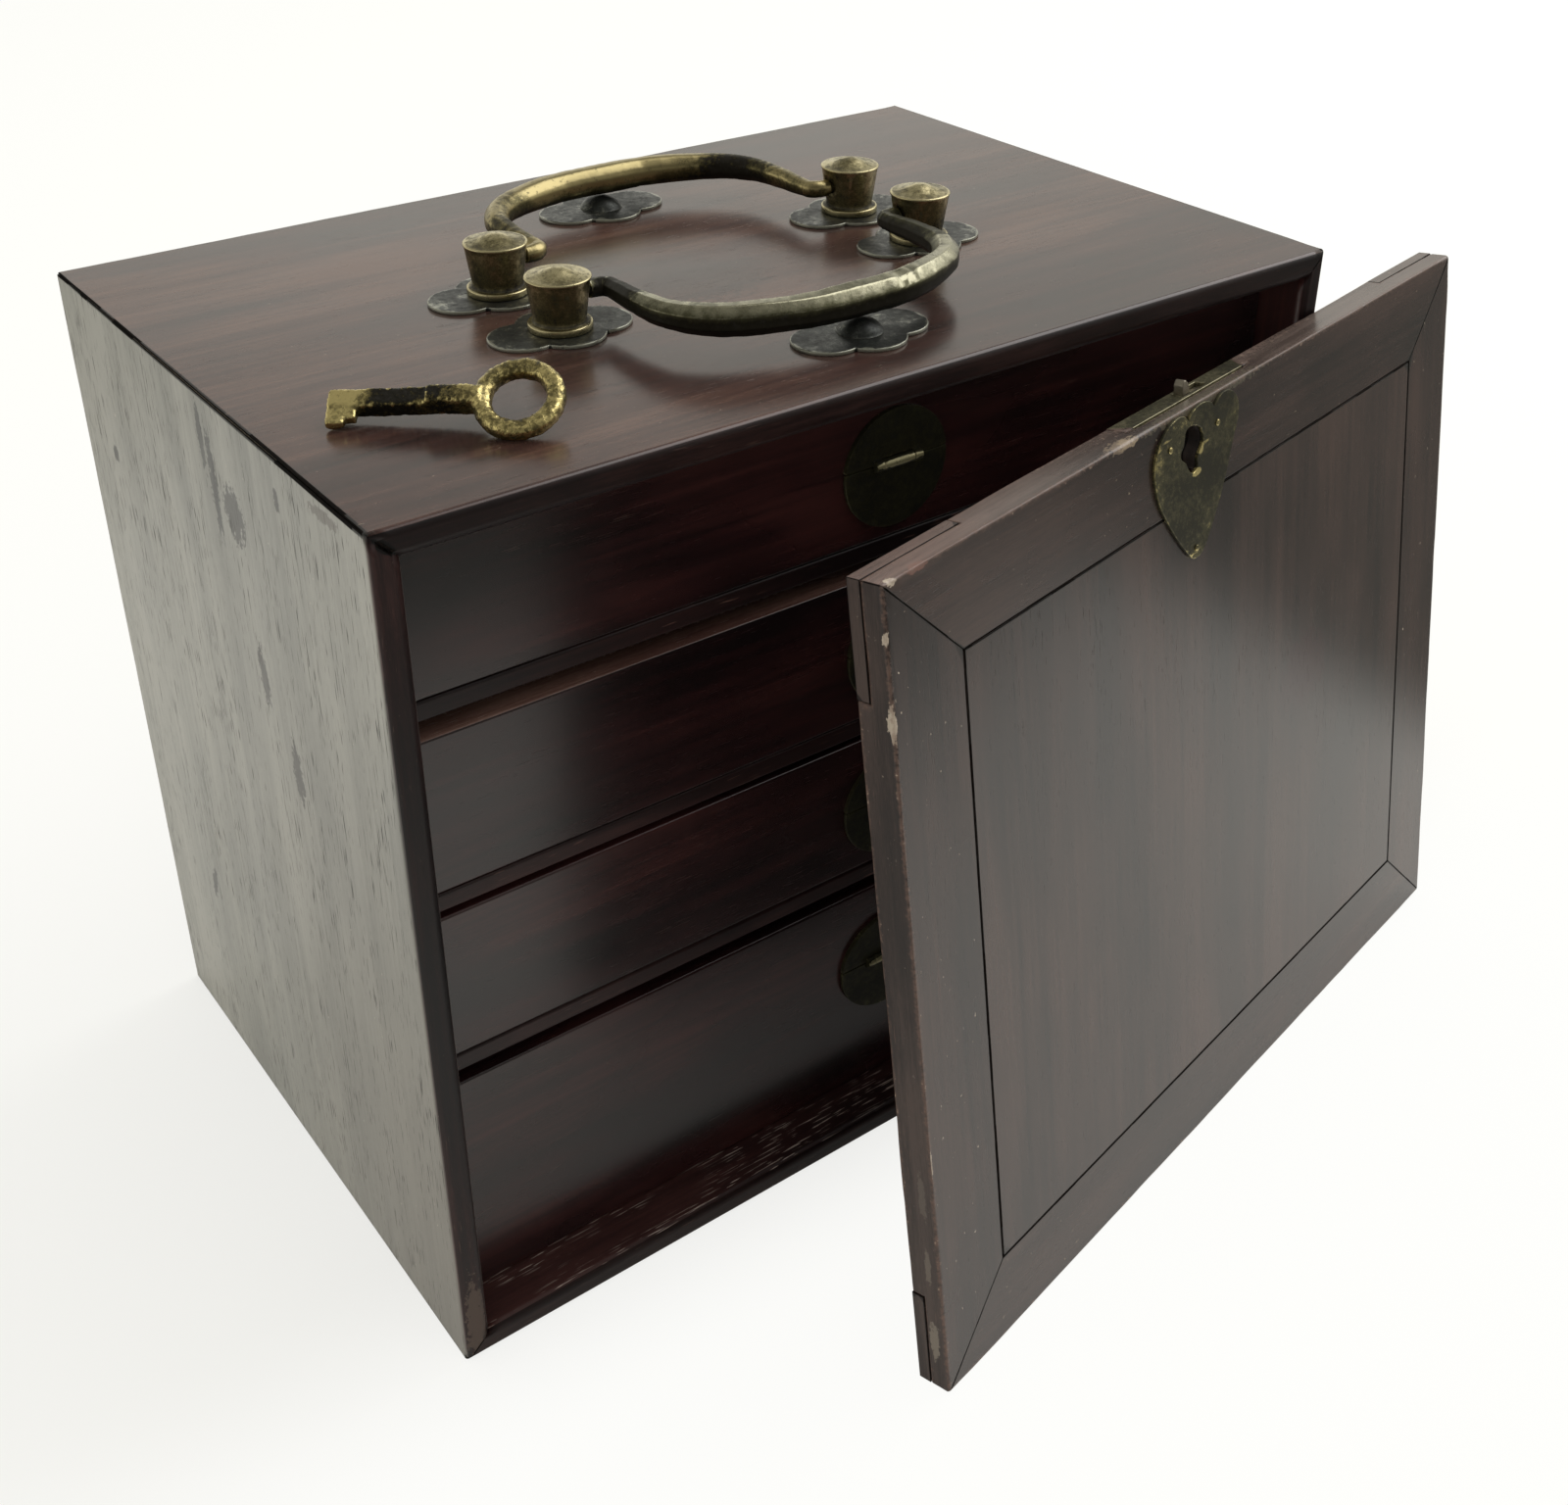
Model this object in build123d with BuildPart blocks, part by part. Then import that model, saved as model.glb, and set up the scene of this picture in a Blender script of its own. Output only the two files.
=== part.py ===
from build123d import *
import os
from math import asin, atan2, cos, degrees, hypot, radians, sin

# A rosewood drawer case with two carrying bails, a loose front door that leans on it, and a key on top.
# Millimetres. X runs to the right, Y to the back and Z up, from the middle of the case's underside.

# Case
case_width = 238.0
case_depth = 155.0
case_height = 200.0
board = 6.0
outer_round = 1.5
inner_round = 2.0
back_panel_thickness = 5.0
back_panel_inset = 1.5
groove_depth = 2.5
joint_gap = 0.05
overrun = 1.0

# Dividers and the levels of the four drawers, from the lowest one up
front_recess = 12.0
divider_thickness = 4.3
housing_depth = 2.0
slide_gap = 0.2
deep_drawer_height = 59.0
tile_drawer_height = 35.1
top_drawer_height = 35.6
deep_head_gap = 3.3
lower_head_gap = 1.6
upper_head_gap = 4.2
top_head_gap = 0.4

# Drawers
side_gap = 0.4
drawer_back_gap = 1.5
front_thickness = 7.0
front_round = 0.6
front_rabbet = 4.0
drawer_side_thickness = 4.0
side_drop = 3.0
drawer_bottom_thickness = 3.0
drawer_bottom_rise = 2.0
drawer_groove = 2.0

# Round pulls
pull_radius = 13.4
seam_rise = 1.6
pull_sheet = 0.9
pull_back_gap = 0.2
barrel_radius = 1.2
pull_pin_radius = 0.5
running_gap = 0.06
seam_gap = 0.3
knuckle_span = 12.2
middle_knuckle = 7.8
knuckle_gap = 0.2
upper_pull_x = 2.0
lower_pull_x = 4.0
deep_seam_height = 37.6

# Handle posts, plates and rests
post_x = 47.5
handle_centre_y = -4.9
post_spacing_y = 25.8
plate_sheet = 0.8
plate_long_reach = 16.0
plate_short_reach = 11.0
plate_long_lobe = 7.4
plate_short_lobe = 7.8
post_base_radius = 6.7
post_base_height = 1.5
post_neck_radius = 5.5
post_neck_height = 2.4
post_rim_radius = 6.8
post_rim_height = 11.0
post_cap_shoulder = 0.5
post_cap_height = 12.8
pivot_height = 7.5
shank_radius = 2.0
shank_gap = 0.1
shank_head = 0.5
washer_radius = 4.5
washer_thickness = 1.0
rest_reach = 37.1
stud_x = 0.8
stud_radius = 5.1
stud_height = 2.9
stud_shank_radius = 1.0
stud_shank_length = 4.0

# Bails
bail_half_width = 36.6
bail_reach = 36.9
bail_end_radius = 1.9
bail_middle_radius = 3.6
bail_pin_radius = 1.5
bail_pin_gap = 0.08
bail_pin_depth = 3.6
bail_bore_gap = 0.6
bail_start_gap = 0.5
bail_sides = 8
bail_bend_radius = 2.0
bail_bend_steps = 4
bail_bow_steps = 30
bail_leg_share = 0.995
bail_outline_shares = [(0.998, 0.333), (0.956, 0.607), (0.77, 0.824), (0.385, 0.976)]

# Key
key_left_inset = 42.8
key_front_inset = 25.0
key_turn = 37.1
key_roll = 27.0
key_slope = 2.4
key_lift = 4.9
bow_radius = 8.4
bow_bar = 3.2
bow_round = 1.2
stem_length = 28.0
stem_width = 3.9
stem_thickness = 4.6
stem_step = 10.0
stem_step_drop = 0.9
stem_round = 0.8
bit_length = 5.4
bit_reach = 5.5
bit_thickness = 1.8
bit_notch_length = 2.2
bit_notch_reach = 2.2

# Door
door_side_gap = 0.3
door_height_gap = 0.6
door_thickness = 8.0
door_left_x = -41.7
door_stand_off = 68.2
door_yaw = 12.14
lean_gap = 0.3
frame_width = 21.0
panel_gap = 0.4
panel_thickness = 6.5
tongue_offset = 2.7
tongue_thickness = 2.6
tongue_length = 3.8
tongue_gap = 0.1
key_block_long = 28.5
key_block_tall = 24.0
key_block_end = 4.0
key_block_thickness = 3.0

# Lock in the door's top rail, measured from the middle of the door's width
lock_x = -6.2
lock_plate_length = 49.4
lock_plate_width = 4.4
lock_sheet = 0.8
lock_case_length = 45.8
lock_case_height = 15.6
lock_case_depth = 4.9
bolt_x = -2.5
bolt_width = 9.0
bolt_thickness = 2.4
bolt_stand = 3.2
bolt_gap = 0.1
bolt_tail_width = 16.0
bolt_tail_height = 4.5
bolt_tail_drop = 11.9
keyhole_x = -11.9
keyhole_drop = 6.7
keyhole_radius = 1.9
keyhole_slot_width = 1.6
keyhole_slot_drop = 16.0
lock_pin_radius = 0.7
lock_spring_thickness = 0.4
lock_spring_width = 2.0
lock_spring_bow = 3.0
lock_spring_gap = 0.3
escutcheon_x = -11.3
escutcheon_drop = 0.6
escutcheon_height = 33.4
escutcheon_half_width = 16.5
escutcheon_sheet = 0.8
escutcheon_shoulder_radius = 8.8
escutcheon_lobe_radius = 5.8
escutcheon_flank_shares = (0.57, 0.72)
escutcheon_tip_share = 1.1
nail_radius = 0.7
nail_shank_radius = 0.35
nail_length = 2.4
nail_hole_gap = 0.05
nail_spread = 9.4
nail_drop = 6.4
nail_tip_rise = 2.4

# Strike in the top board, where the bolt goes when the door is in
door_setback = 1.0
strike_length = 20.0
strike_width = 7.0
strike_slot_length = 10.4
strike_slot_width = 3.4
strike_slot_depth = 4.2

os.makedirs("parts", exist_ok=True)

# Places that several pieces share
half_width = case_width / 2
half_depth = case_depth / 2
inner_half_width = half_width - board
inner_top = case_height - board
front_plane = Plane.XZ.offset(half_depth)
panel_rear_y = half_depth - back_panel_inset
panel_front_y = panel_rear_y - back_panel_thickness
divider_front_y = front_recess - half_depth
divider_length = panel_front_y - divider_front_y - joint_gap
divider_middle_y = divider_front_y + divider_length / 2

# The drawers fill the height that the dividers and gaps leave, in the proportion of their named heights
gap_height = deep_head_gap + lower_head_gap + upper_head_gap + top_head_gap + 4 * slide_gap
drawer_room = inner_top - board - 3 * divider_thickness - gap_height
stack_share = drawer_room / (deep_drawer_height + 2 * tile_drawer_height + top_drawer_height)
deep_height = deep_drawer_height * stack_share
tile_height = tile_drawer_height * stack_share
top_height = top_drawer_height * stack_share
deep_base = board + slide_gap
low_divider = deep_base + deep_height + deep_head_gap
lower_base = low_divider + divider_thickness + slide_gap
middle_divider = lower_base + tile_height + lower_head_gap
upper_base = middle_divider + divider_thickness + slide_gap
high_divider = upper_base + tile_height + upper_head_gap
top_base = high_divider + divider_thickness + slide_gap
divider_levels = [high_divider, middle_divider, low_divider]

front_post_y = handle_centre_y - post_spacing_y / 2
rear_post_y = handle_centre_y + post_spacing_y / 2
post_places = [(x, y) for x in (-post_x, post_x) for y in (front_post_y, rear_post_y)]
rest_places = [(stud_x, front_post_y - rest_reach), (stud_x, rear_post_y + rest_reach)]

door_width = 2 * (inner_half_width - door_side_gap)
door_height = inner_top - board - door_height_gap
strike_x = bolt_x
strike_y = door_setback - half_depth + door_thickness - lock_sheet - joint_gap - bolt_thickness / 2
strike_y = strike_y - bolt_gap


# Case boards, mitred at the corners, with grooves for the back panel and housings for the dividers
with BuildPart() as left_side:
    with BuildSketch(front_plane):
        Polygon(
            (-half_width, 0),
            (-half_width, case_height),
            (-inner_half_width, inner_top),
            (-inner_half_width, board),
            align=None,
        )
    extrude(amount=-case_depth)
    inner_edge = edges().group_by(Axis.Y)[0].filter_by(Axis.Z).sort_by(Axis.X)[-1]
    fillet(inner_edge, inner_round)
    outer_edge = edges().group_by(Axis.Y)[0].filter_by(Axis.Z).sort_by(Axis.X)[0]
    fillet(outer_edge, outer_round)
    for level in divider_levels:
        with BuildSketch(Plane.XY.offset(level - joint_gap)):
            with Locations((0, divider_middle_y)):
                Rectangle(2 * (inner_half_width + housing_depth), divider_length + 2 * joint_gap)
        extrude(amount=divider_thickness + 2 * joint_gap, mode=Mode.SUBTRACT)
    with BuildSketch(Plane.XZ.offset(-panel_front_y + joint_gap)):
        with Locations((0, case_height / 2)):
            Rectangle(2 * (inner_half_width + groove_depth), inner_top - board + 2 * groove_depth)
    extrude(amount=-(back_panel_thickness + 2 * joint_gap), mode=Mode.SUBTRACT)
left_side.part.label = "left_side"
export_step(left_side.part, "parts/left_side.step")

with BuildPart() as right_side:
    mirror(left_side.part, about=Plane.YZ)
right_side.part.label = "right_side"
export_step(right_side.part, "parts/right_side.step")

with BuildPart() as top_board:
    with BuildSketch(front_plane):
        Polygon(
            (-half_width, case_height),
            (half_width, case_height),
            (inner_half_width, inner_top),
            (-inner_half_width, inner_top),
            align=None,
        )
    extrude(amount=-case_depth)
    inner_edge = edges().group_by(Axis.Y)[0].filter_by(Axis.X).sort_by(Axis.Z)[0]
    fillet(inner_edge, inner_round)
    outer_edge = edges().group_by(Axis.Y)[0].filter_by(Axis.X).sort_by(Axis.Z)[-1]
    fillet(outer_edge, outer_round)
    with BuildSketch(Plane.XZ.offset(-panel_front_y + joint_gap)):
        with Locations((0, case_height / 2)):
            Rectangle(2 * (inner_half_width + groove_depth), inner_top - board + 2 * groove_depth)
    extrude(amount=-(back_panel_thickness + 2 * joint_gap), mode=Mode.SUBTRACT)
    with BuildSketch(Plane.XY.offset(inner_top - overrun)):
        with Locations(*post_places):
            Circle(shank_radius + shank_gap)
    extrude(amount=board + 2 * overrun, mode=Mode.SUBTRACT)
    with BuildSketch(Plane.XY.offset(case_height + overrun)):
        with Locations(*rest_places):
            Circle(stud_shank_radius + joint_gap)
    extrude(amount=-(stud_shank_length + joint_gap + overrun), mode=Mode.SUBTRACT)
    with BuildSketch(Plane.XY.offset(inner_top)):
        with Locations((strike_x, strike_y)):
            Rectangle(strike_length + 2 * joint_gap, strike_width + 2 * joint_gap)
    extrude(amount=lock_sheet + joint_gap, mode=Mode.SUBTRACT)
    with BuildSketch(Plane.XY.offset(inner_top)):
        with Locations((strike_x, strike_y)):
            Rectangle(strike_slot_length, strike_slot_width)
    extrude(amount=strike_slot_depth, mode=Mode.SUBTRACT)
top_board.part.label = "top_board"
export_step(top_board.part, "parts/top_board.step")

with BuildPart() as bottom_board:
    with BuildSketch(front_plane):
        Polygon(
            (-half_width, 0),
            (half_width, 0),
            (inner_half_width, board),
            (-inner_half_width, board),
            align=None,
        )
    extrude(amount=-case_depth)
    inner_edge = edges().group_by(Axis.Y)[0].filter_by(Axis.X).sort_by(Axis.Z)[-1]
    fillet(inner_edge, inner_round)
    outer_edge = edges().group_by(Axis.Y)[0].filter_by(Axis.X).sort_by(Axis.Z)[0]
    fillet(outer_edge, outer_round)
    with BuildSketch(Plane.XZ.offset(-panel_front_y + joint_gap)):
        with Locations((0, case_height / 2)):
            Rectangle(2 * (inner_half_width + groove_depth), inner_top - board + 2 * groove_depth)
    extrude(amount=-(back_panel_thickness + 2 * joint_gap), mode=Mode.SUBTRACT)
bottom_board.part.label = "bottom_board"
export_step(bottom_board.part, "parts/bottom_board.step")

with BuildPart() as back_panel:
    with BuildSketch(Plane.XZ.offset(-panel_front_y)):
        with Locations((0, case_height / 2)):
            Rectangle(
                2 * (inner_half_width + groove_depth - joint_gap),
                inner_top - board + 2 * (groove_depth - joint_gap),
            )
    extrude(amount=-back_panel_thickness)
back_panel.part.label = "back_panel"
export_step(back_panel.part, "parts/back_panel.step")

for number, level in enumerate(divider_levels, start=1):
    with BuildPart() as divider:
        with BuildSketch(Plane.XY.offset(level)):
            with Locations((0, divider_middle_y)):
                Rectangle(2 * (inner_half_width + housing_depth - joint_gap), divider_length)
        extrude(amount=divider_thickness)
        fillet(edges().group_by(Axis.Y)[0].filter_by(Axis.X), front_round)
    divider.part.label = f"divider_{number}"
    export_step(divider.part, f"parts/divider_{number}.step")

with BuildPart() as strike_plate:
    with BuildSketch(Plane.XY.offset(inner_top)):
        with Locations((strike_x, strike_y)):
            Rectangle(strike_length, strike_width)
            Rectangle(strike_slot_length, strike_slot_width, mode=Mode.SUBTRACT)
    extrude(amount=lock_sheet)
strike_plate.part.label = "strike_plate"
export_step(strike_plate.part, "parts/strike_plate.step")

# Handle posts: turned brass, flared to a pointed cap, with a shank through the top board
plate_top = case_height + plate_sheet
pivot_z = case_height + pivot_height
flare_share = (pivot_z - plate_top - post_neck_height) / (post_rim_height - post_neck_height)
radius_at_pivot = post_neck_radius + flare_share * (post_rim_radius - post_neck_radius)
bail_start_x = post_x - radius_at_pivot - bail_start_gap
bail_pin_end_x = post_x - radius_at_pivot + bail_pin_depth

with BuildPart() as one_post:
    with BuildSketch(Plane.XZ):
        with BuildLine():
            shank_foot = inner_top - washer_thickness - shank_head
            Polyline(
                (0, shank_foot),
                (shank_radius, shank_foot),
                (shank_radius, plate_top),
                (post_base_radius, plate_top),
                (post_base_radius, plate_top + post_base_height),
                (post_neck_radius, plate_top + post_neck_height),
                (post_rim_radius, plate_top + post_rim_height),
            )
            Spline(
                (post_rim_radius, plate_top + post_rim_height),
                (post_rim_radius / 2, plate_top + post_rim_height + 2 * post_cap_shoulder),
                (0, plate_top + post_cap_height),
            )
            Line((0, plate_top + post_cap_height), (0, shank_foot))
        make_face()
    revolve(axis=Axis.Z)

with BuildPart() as handle_posts:
    with Locations(*[(x, y, 0) for x, y in post_places]):
        add(one_post.part)
    for y in (front_post_y, rear_post_y):
        with BuildSketch(Plane.YZ.offset(-bail_pin_end_x - bail_bore_gap)):
            with Locations((y, pivot_z)):
                Circle(bail_pin_radius + bail_pin_gap)
        extrude(amount=2 * (bail_pin_end_x + bail_bore_gap), mode=Mode.SUBTRACT)
handle_posts.part.label = "handle_posts"
export_step(handle_posts.part, "parts/handle_posts.step")

with BuildPart() as post_washers:
    with BuildSketch(Plane.XY.offset(inner_top)):
        with Locations(*post_places):
            Circle(washer_radius)
            Circle(shank_radius + shank_gap, mode=Mode.SUBTRACT)
    extrude(amount=-washer_thickness)
post_washers.part.label = "post_washers"
export_step(post_washers.part, "parts/post_washers.step")


def scalloped_plate(hole_radius):
    """Draw a four-lobed plate with a hole in the middle."""
    with Locations((plate_long_lobe - plate_long_reach, 0), (plate_long_reach - plate_long_lobe, 0)):
        Circle(plate_long_lobe)
    with Locations((0, plate_short_lobe - plate_short_reach), (0, plate_short_reach - plate_short_lobe)):
        Circle(plate_short_lobe)
    Circle(hole_radius, mode=Mode.SUBTRACT)


with BuildPart() as one_post_plate:
    with BuildSketch():
        scalloped_plate(shank_radius + shank_gap)
    extrude(amount=plate_sheet)

with BuildPart() as post_plates:
    with Locations(*[(x, y, case_height) for x, y in post_places]):
        add(one_post_plate.part)
post_plates.part.label = "post_plates"
export_step(post_plates.part, "parts/post_plates.step")

with BuildPart() as one_rest_plate:
    with BuildSketch():
        scalloped_plate(stud_shank_radius + joint_gap)
    extrude(amount=plate_sheet)

with BuildPart() as rest_plates:
    with Locations(*[(x, y, case_height) for x, y in rest_places]):
        add(one_rest_plate.part)
rest_plates.part.label = "rest_plates"
export_step(rest_plates.part, "parts/rest_plates.step")

dome_radius = (stud_radius**2 + stud_height**2) / (2 * stud_height)
dome_centre_z = plate_top + stud_height - dome_radius
dome_half_angle = asin(stud_radius / dome_radius) / 2

with BuildPart() as one_stud:
    with BuildSketch(Plane.XZ):
        with BuildLine():
            ThreePointArc(
                (stud_radius, plate_top),
                (dome_radius * sin(dome_half_angle), dome_centre_z + dome_radius * cos(dome_half_angle)),
                (0, plate_top + stud_height),
            )
            Polyline(
                (0, plate_top + stud_height),
                (0, case_height - stud_shank_length),
                (stud_shank_radius, case_height - stud_shank_length),
                (stud_shank_radius, plate_top),
                (stud_radius, plate_top),
            )
        make_face()
    revolve(axis=Axis.Z)

with BuildPart() as rest_studs:
    with Locations(*[(x, y, 0) for x, y in rest_places]):
        add(one_stud.part)
rest_studs.part.label = "rest_studs"
export_step(rest_studs.part, "parts/rest_studs.step")


# Bails: forged bars, thick in the middle and thin at the ends, with a round pin into each post
def make_bail(side, pivot_y):
    """Build one bail that lies flat towards side (-1 front, 1 rear)."""
    swing_plane = Plane(origin=(0, pivot_y, pivot_z), x_dir=(side, 0, 0), z_dir=(0, 0, 1))
    leg_x = bail_half_width * bail_leg_share
    corner_x = leg_x + bail_bend_radius
    right_points = [(bail_half_width * x, bail_reach * y) for x, y in bail_outline_shares]
    left_points = [(-x, y) for x, y in reversed(right_points)]
    bow_points = [(leg_x, bail_bend_radius), *right_points, (0, bail_reach)]
    bow_points += [*left_points, (-leg_x, bail_bend_radius)]
    with BuildLine() as centre_line:
        right_end = Line((bail_start_x, 0), (corner_x, 0))
        right_bend = JernArc((corner_x, 0), (-1, 0), bail_bend_radius, -90)
        bow = Spline(*bow_points, tangents=[(0, 1), (0, -1)])
        left_bend = JernArc((-leg_x, bail_bend_radius), (0, -1), bail_bend_radius, -90)
        left_end = Line((-corner_x, 0), (-bail_start_x, 0))
    stations = []
    for run, steps in (
        (right_end, 1),
        (right_bend, bail_bend_steps),
        (bow, bail_bow_steps),
        (left_bend, bail_bend_steps),
        (left_end, 1),
    ):
        stations += [(run @ (step / steps), run % (step / steps)) for step in range(steps)]
    stations.append((left_end @ 1, left_end % 1))
    with BuildPart() as bail:
        for place, direction in stations:
            reach_share = place.Y / bail_reach
            radius = bail_end_radius + (bail_middle_radius - bail_end_radius) * reach_share
            section_plane = Plane(
                origin=swing_plane.from_local_coords(place),
                x_dir=swing_plane.z_dir,
                z_dir=swing_plane.from_local_coords(direction) - swing_plane.origin,
            )
            with BuildSketch(section_plane):
                RegularPolygon(radius, bail_sides)
        loft(ruled=True)
        for end in (-1, 1):
            with BuildSketch(Plane.YZ.offset(end * bail_start_x)):
                with Locations((pivot_y, pivot_z)):
                    Circle(bail_pin_radius)
            extrude(amount=end * (bail_pin_end_x - bail_start_x))
    return bail


bail_front = make_bail(-1, front_post_y)
bail_front.part.label = "bail_front"
export_step(bail_front.part, "parts/bail_front.step")

bail_rear = make_bail(1, rear_post_y)
bail_rear.part.label = "bail_rear"
export_step(bail_rear.part, "parts/bail_rear.step")

# Drawers from the top one down, each with a round pull
drawer_half_width = inner_half_width - side_gap
drawer_rear_y = panel_front_y - drawer_back_gap
drawer_side_y = divider_front_y + front_thickness - front_rabbet
drawer_levels = [
    (top_base, top_height, upper_pull_x, top_height / 2),
    (upper_base, tile_height, lower_pull_x, tile_height / 2),
    (lower_base, tile_height, lower_pull_x, tile_height / 2),
    (deep_base, deep_height, lower_pull_x, deep_seam_height * stack_share),
]
inside_half_width = drawer_half_width - drawer_side_thickness
drawer_front_rear_y = divider_front_y + front_thickness
bottom_front_y = drawer_front_rear_y - drawer_groove

for number, (base, height, pull_x, seam_height) in enumerate(drawer_levels, start=1):
    bottom_z = base + drawer_bottom_rise
    bottom_top = bottom_z + drawer_bottom_thickness
    side_height = height - side_drop
    bottom_reach = inside_half_width + drawer_groove
    bottom_length = drawer_rear_y - bottom_front_y
    bottom_middle_y = bottom_front_y + bottom_length / 2
    with BuildPart() as drawer_front:
        with BuildSketch(Plane.XZ.offset(-divider_front_y)):
            with Locations((0, base + height / 2)):
                Rectangle(2 * drawer_half_width, height)
        extrude(amount=-front_thickness)
        fillet(edges().group_by(Axis.Y)[0], front_round)
        for end in (-1, 1):
            with BuildSketch(Plane.XY.offset(base)):
                with Locations((end * drawer_half_width, drawer_front_rear_y)):
                    Rectangle(2 * (drawer_side_thickness + joint_gap), 2 * (front_rabbet + joint_gap))
            extrude(amount=height, mode=Mode.SUBTRACT)
        with BuildSketch(Plane.XY.offset(bottom_z - joint_gap)):
            with Locations((0, bottom_middle_y)):
                Rectangle(2 * drawer_half_width, bottom_length + 2 * joint_gap)
        extrude(amount=drawer_bottom_thickness + 2 * joint_gap, mode=Mode.SUBTRACT)
    drawer_front.part.label = f"drawer_{number}_front"
    export_step(drawer_front.part, f"parts/drawer_{number}_front.step")

    with BuildPart() as drawer_sides:
        with BuildSketch(Plane.XY.offset(base)):
            side_length = drawer_rear_y - drawer_side_y
            with Locations((0, drawer_side_y + side_length / 2)):
                Rectangle(2 * drawer_half_width, side_length)
                Rectangle(2 * inside_half_width, side_length, mode=Mode.SUBTRACT)
        extrude(amount=side_height)
        with BuildSketch(Plane.XY.offset(bottom_z - joint_gap)):
            with Locations((0, bottom_middle_y)):
                Rectangle(2 * (bottom_reach + joint_gap), bottom_length + 2 * overrun)
        extrude(amount=drawer_bottom_thickness + 2 * joint_gap, mode=Mode.SUBTRACT)
    drawer_sides.part.label = f"drawer_{number}_sides"
    export_step(drawer_sides.part, f"parts/drawer_{number}_sides.step")

    with BuildPart() as drawer_back:
        with BuildSketch(Plane.XY.offset(bottom_top + joint_gap)):
            with Locations((0, drawer_rear_y - drawer_side_thickness / 2)):
                Rectangle(2 * (inside_half_width - joint_gap), drawer_side_thickness)
        extrude(amount=side_height - drawer_bottom_rise - drawer_bottom_thickness - joint_gap)
    drawer_back.part.label = f"drawer_{number}_back"
    export_step(drawer_back.part, f"parts/drawer_{number}_back.step")

    with BuildPart() as drawer_bottom:
        with BuildSketch(Plane.XY.offset(bottom_z)):
            with Locations((0, bottom_middle_y)):
                Rectangle(2 * bottom_reach, bottom_length)
        extrude(amount=drawer_bottom_thickness)
    drawer_bottom.part.label = f"drawer_{number}_bottom"
    export_step(drawer_bottom.part, f"parts/drawer_{number}_bottom.step")

    # Round pull: the sheet above the seam is fixed, and the one below it swings out on the pin
    seam_z = base + seam_height
    pull_middle_z = seam_z - seam_rise
    pin_y = divider_front_y - barrel_radius - running_gap
    sheet_rear = -divider_front_y + pull_back_gap
    barrel_plane = Plane.YZ.offset(pull_x - knuckle_span / 2)
    end_knuckle = (knuckle_span - middle_knuckle) / 2 - knuckle_gap
    notch_height = 2 * (barrel_radius + knuckle_gap)
    with BuildPart() as pull_plate:
        with BuildSketch(Plane.XZ.offset(-divider_front_y)):
            with Locations((pull_x, pull_middle_z)):
                Circle(pull_radius)
            with Locations((pull_x, seam_z + seam_gap / 2 - pull_radius)):
                Rectangle(4 * pull_radius, 2 * pull_radius, mode=Mode.SUBTRACT)
            with Locations((pull_x, seam_z)):
                Rectangle(middle_knuckle + 2 * knuckle_gap, notch_height, mode=Mode.SUBTRACT)
        extrude(amount=pull_back_gap + pull_sheet)
        for start in (0, knuckle_span - end_knuckle):
            with BuildSketch(Plane.YZ.offset(pull_x - knuckle_span / 2 + start)):
                with Locations((pin_y, seam_z)):
                    Circle(barrel_radius)
            extrude(amount=end_knuckle)
        with BuildSketch(barrel_plane):
            with Locations((pin_y, seam_z)):
                Circle(pull_pin_radius)
        extrude(amount=knuckle_span, mode=Mode.SUBTRACT)
    pull_plate.part.label = f"drawer_{number}_pull_plate"
    export_step(pull_plate.part, f"parts/drawer_{number}_pull_plate.step")

    with BuildPart() as pull_flap:
        with BuildSketch(Plane.XZ.offset(sheet_rear)):
            with Locations((pull_x, pull_middle_z)):
                Circle(pull_radius)
            with Locations((pull_x, seam_z - seam_gap / 2 + pull_radius)):
                Rectangle(4 * pull_radius, 2 * pull_radius, mode=Mode.SUBTRACT)
            for end in (-1, 1):
                with Locations((pull_x + end * (knuckle_span - end_knuckle) / 2, seam_z)):
                    Rectangle(end_knuckle + 2 * knuckle_gap, notch_height, mode=Mode.SUBTRACT)
        extrude(amount=pull_sheet)
        with BuildSketch(Plane.YZ.offset(pull_x - middle_knuckle / 2)):
            with Locations((pin_y, seam_z)):
                Circle(barrel_radius)
        extrude(amount=middle_knuckle)
        with BuildSketch(barrel_plane):
            with Locations((pin_y, seam_z)):
                Circle(pull_pin_radius + running_gap)
        extrude(amount=knuckle_span, mode=Mode.SUBTRACT)
    pull_flap.part.label = f"drawer_{number}_pull_flap"
    export_step(pull_flap.part, f"parts/drawer_{number}_pull_flap.step")

    with BuildPart() as pull_pin:
        with BuildSketch(barrel_plane):
            with Locations((pin_y, seam_z)):
                Circle(pull_pin_radius)
        extrude(amount=knuckle_span)
    pull_pin.part.label = f"drawer_{number}_pull_pin"
    export_step(pull_pin.part, f"parts/drawer_{number}_pull_pin.step")

# The door stands on its lower rear edge and leans back until it nearly touches the case's right front edge
yaw = radians(door_yaw)
door_left_y = -half_depth - door_stand_off
touch_x = half_width - outer_round - door_left_x
touch_y = outer_round - half_depth - door_left_y
reach_back = touch_y * cos(yaw) - touch_x * sin(yaw) - outer_round - lean_gap
lean = asin(reach_back / hypot(door_height, door_thickness)) - atan2(door_thickness, door_height)
door_face = Plane(
    origin=(
        door_left_x + door_width / 2 * cos(yaw),
        door_left_y + door_width / 2 * sin(yaw),
        door_thickness * sin(lean),
    ),
    x_dir=(cos(yaw), sin(yaw), 0),
    z_dir=(sin(yaw) * cos(lean), -cos(yaw) * cos(lean), sin(lean)),
)
door_rear = door_face.offset(-door_thickness)
door_half = door_width / 2
field_half = door_half - frame_width
field_low = frame_width
field_high = door_height - frame_width
field_middle = door_height / 2
keyhole_y = door_height - keyhole_drop
lock_case_top = door_height - lock_sheet - joint_gap
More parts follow.
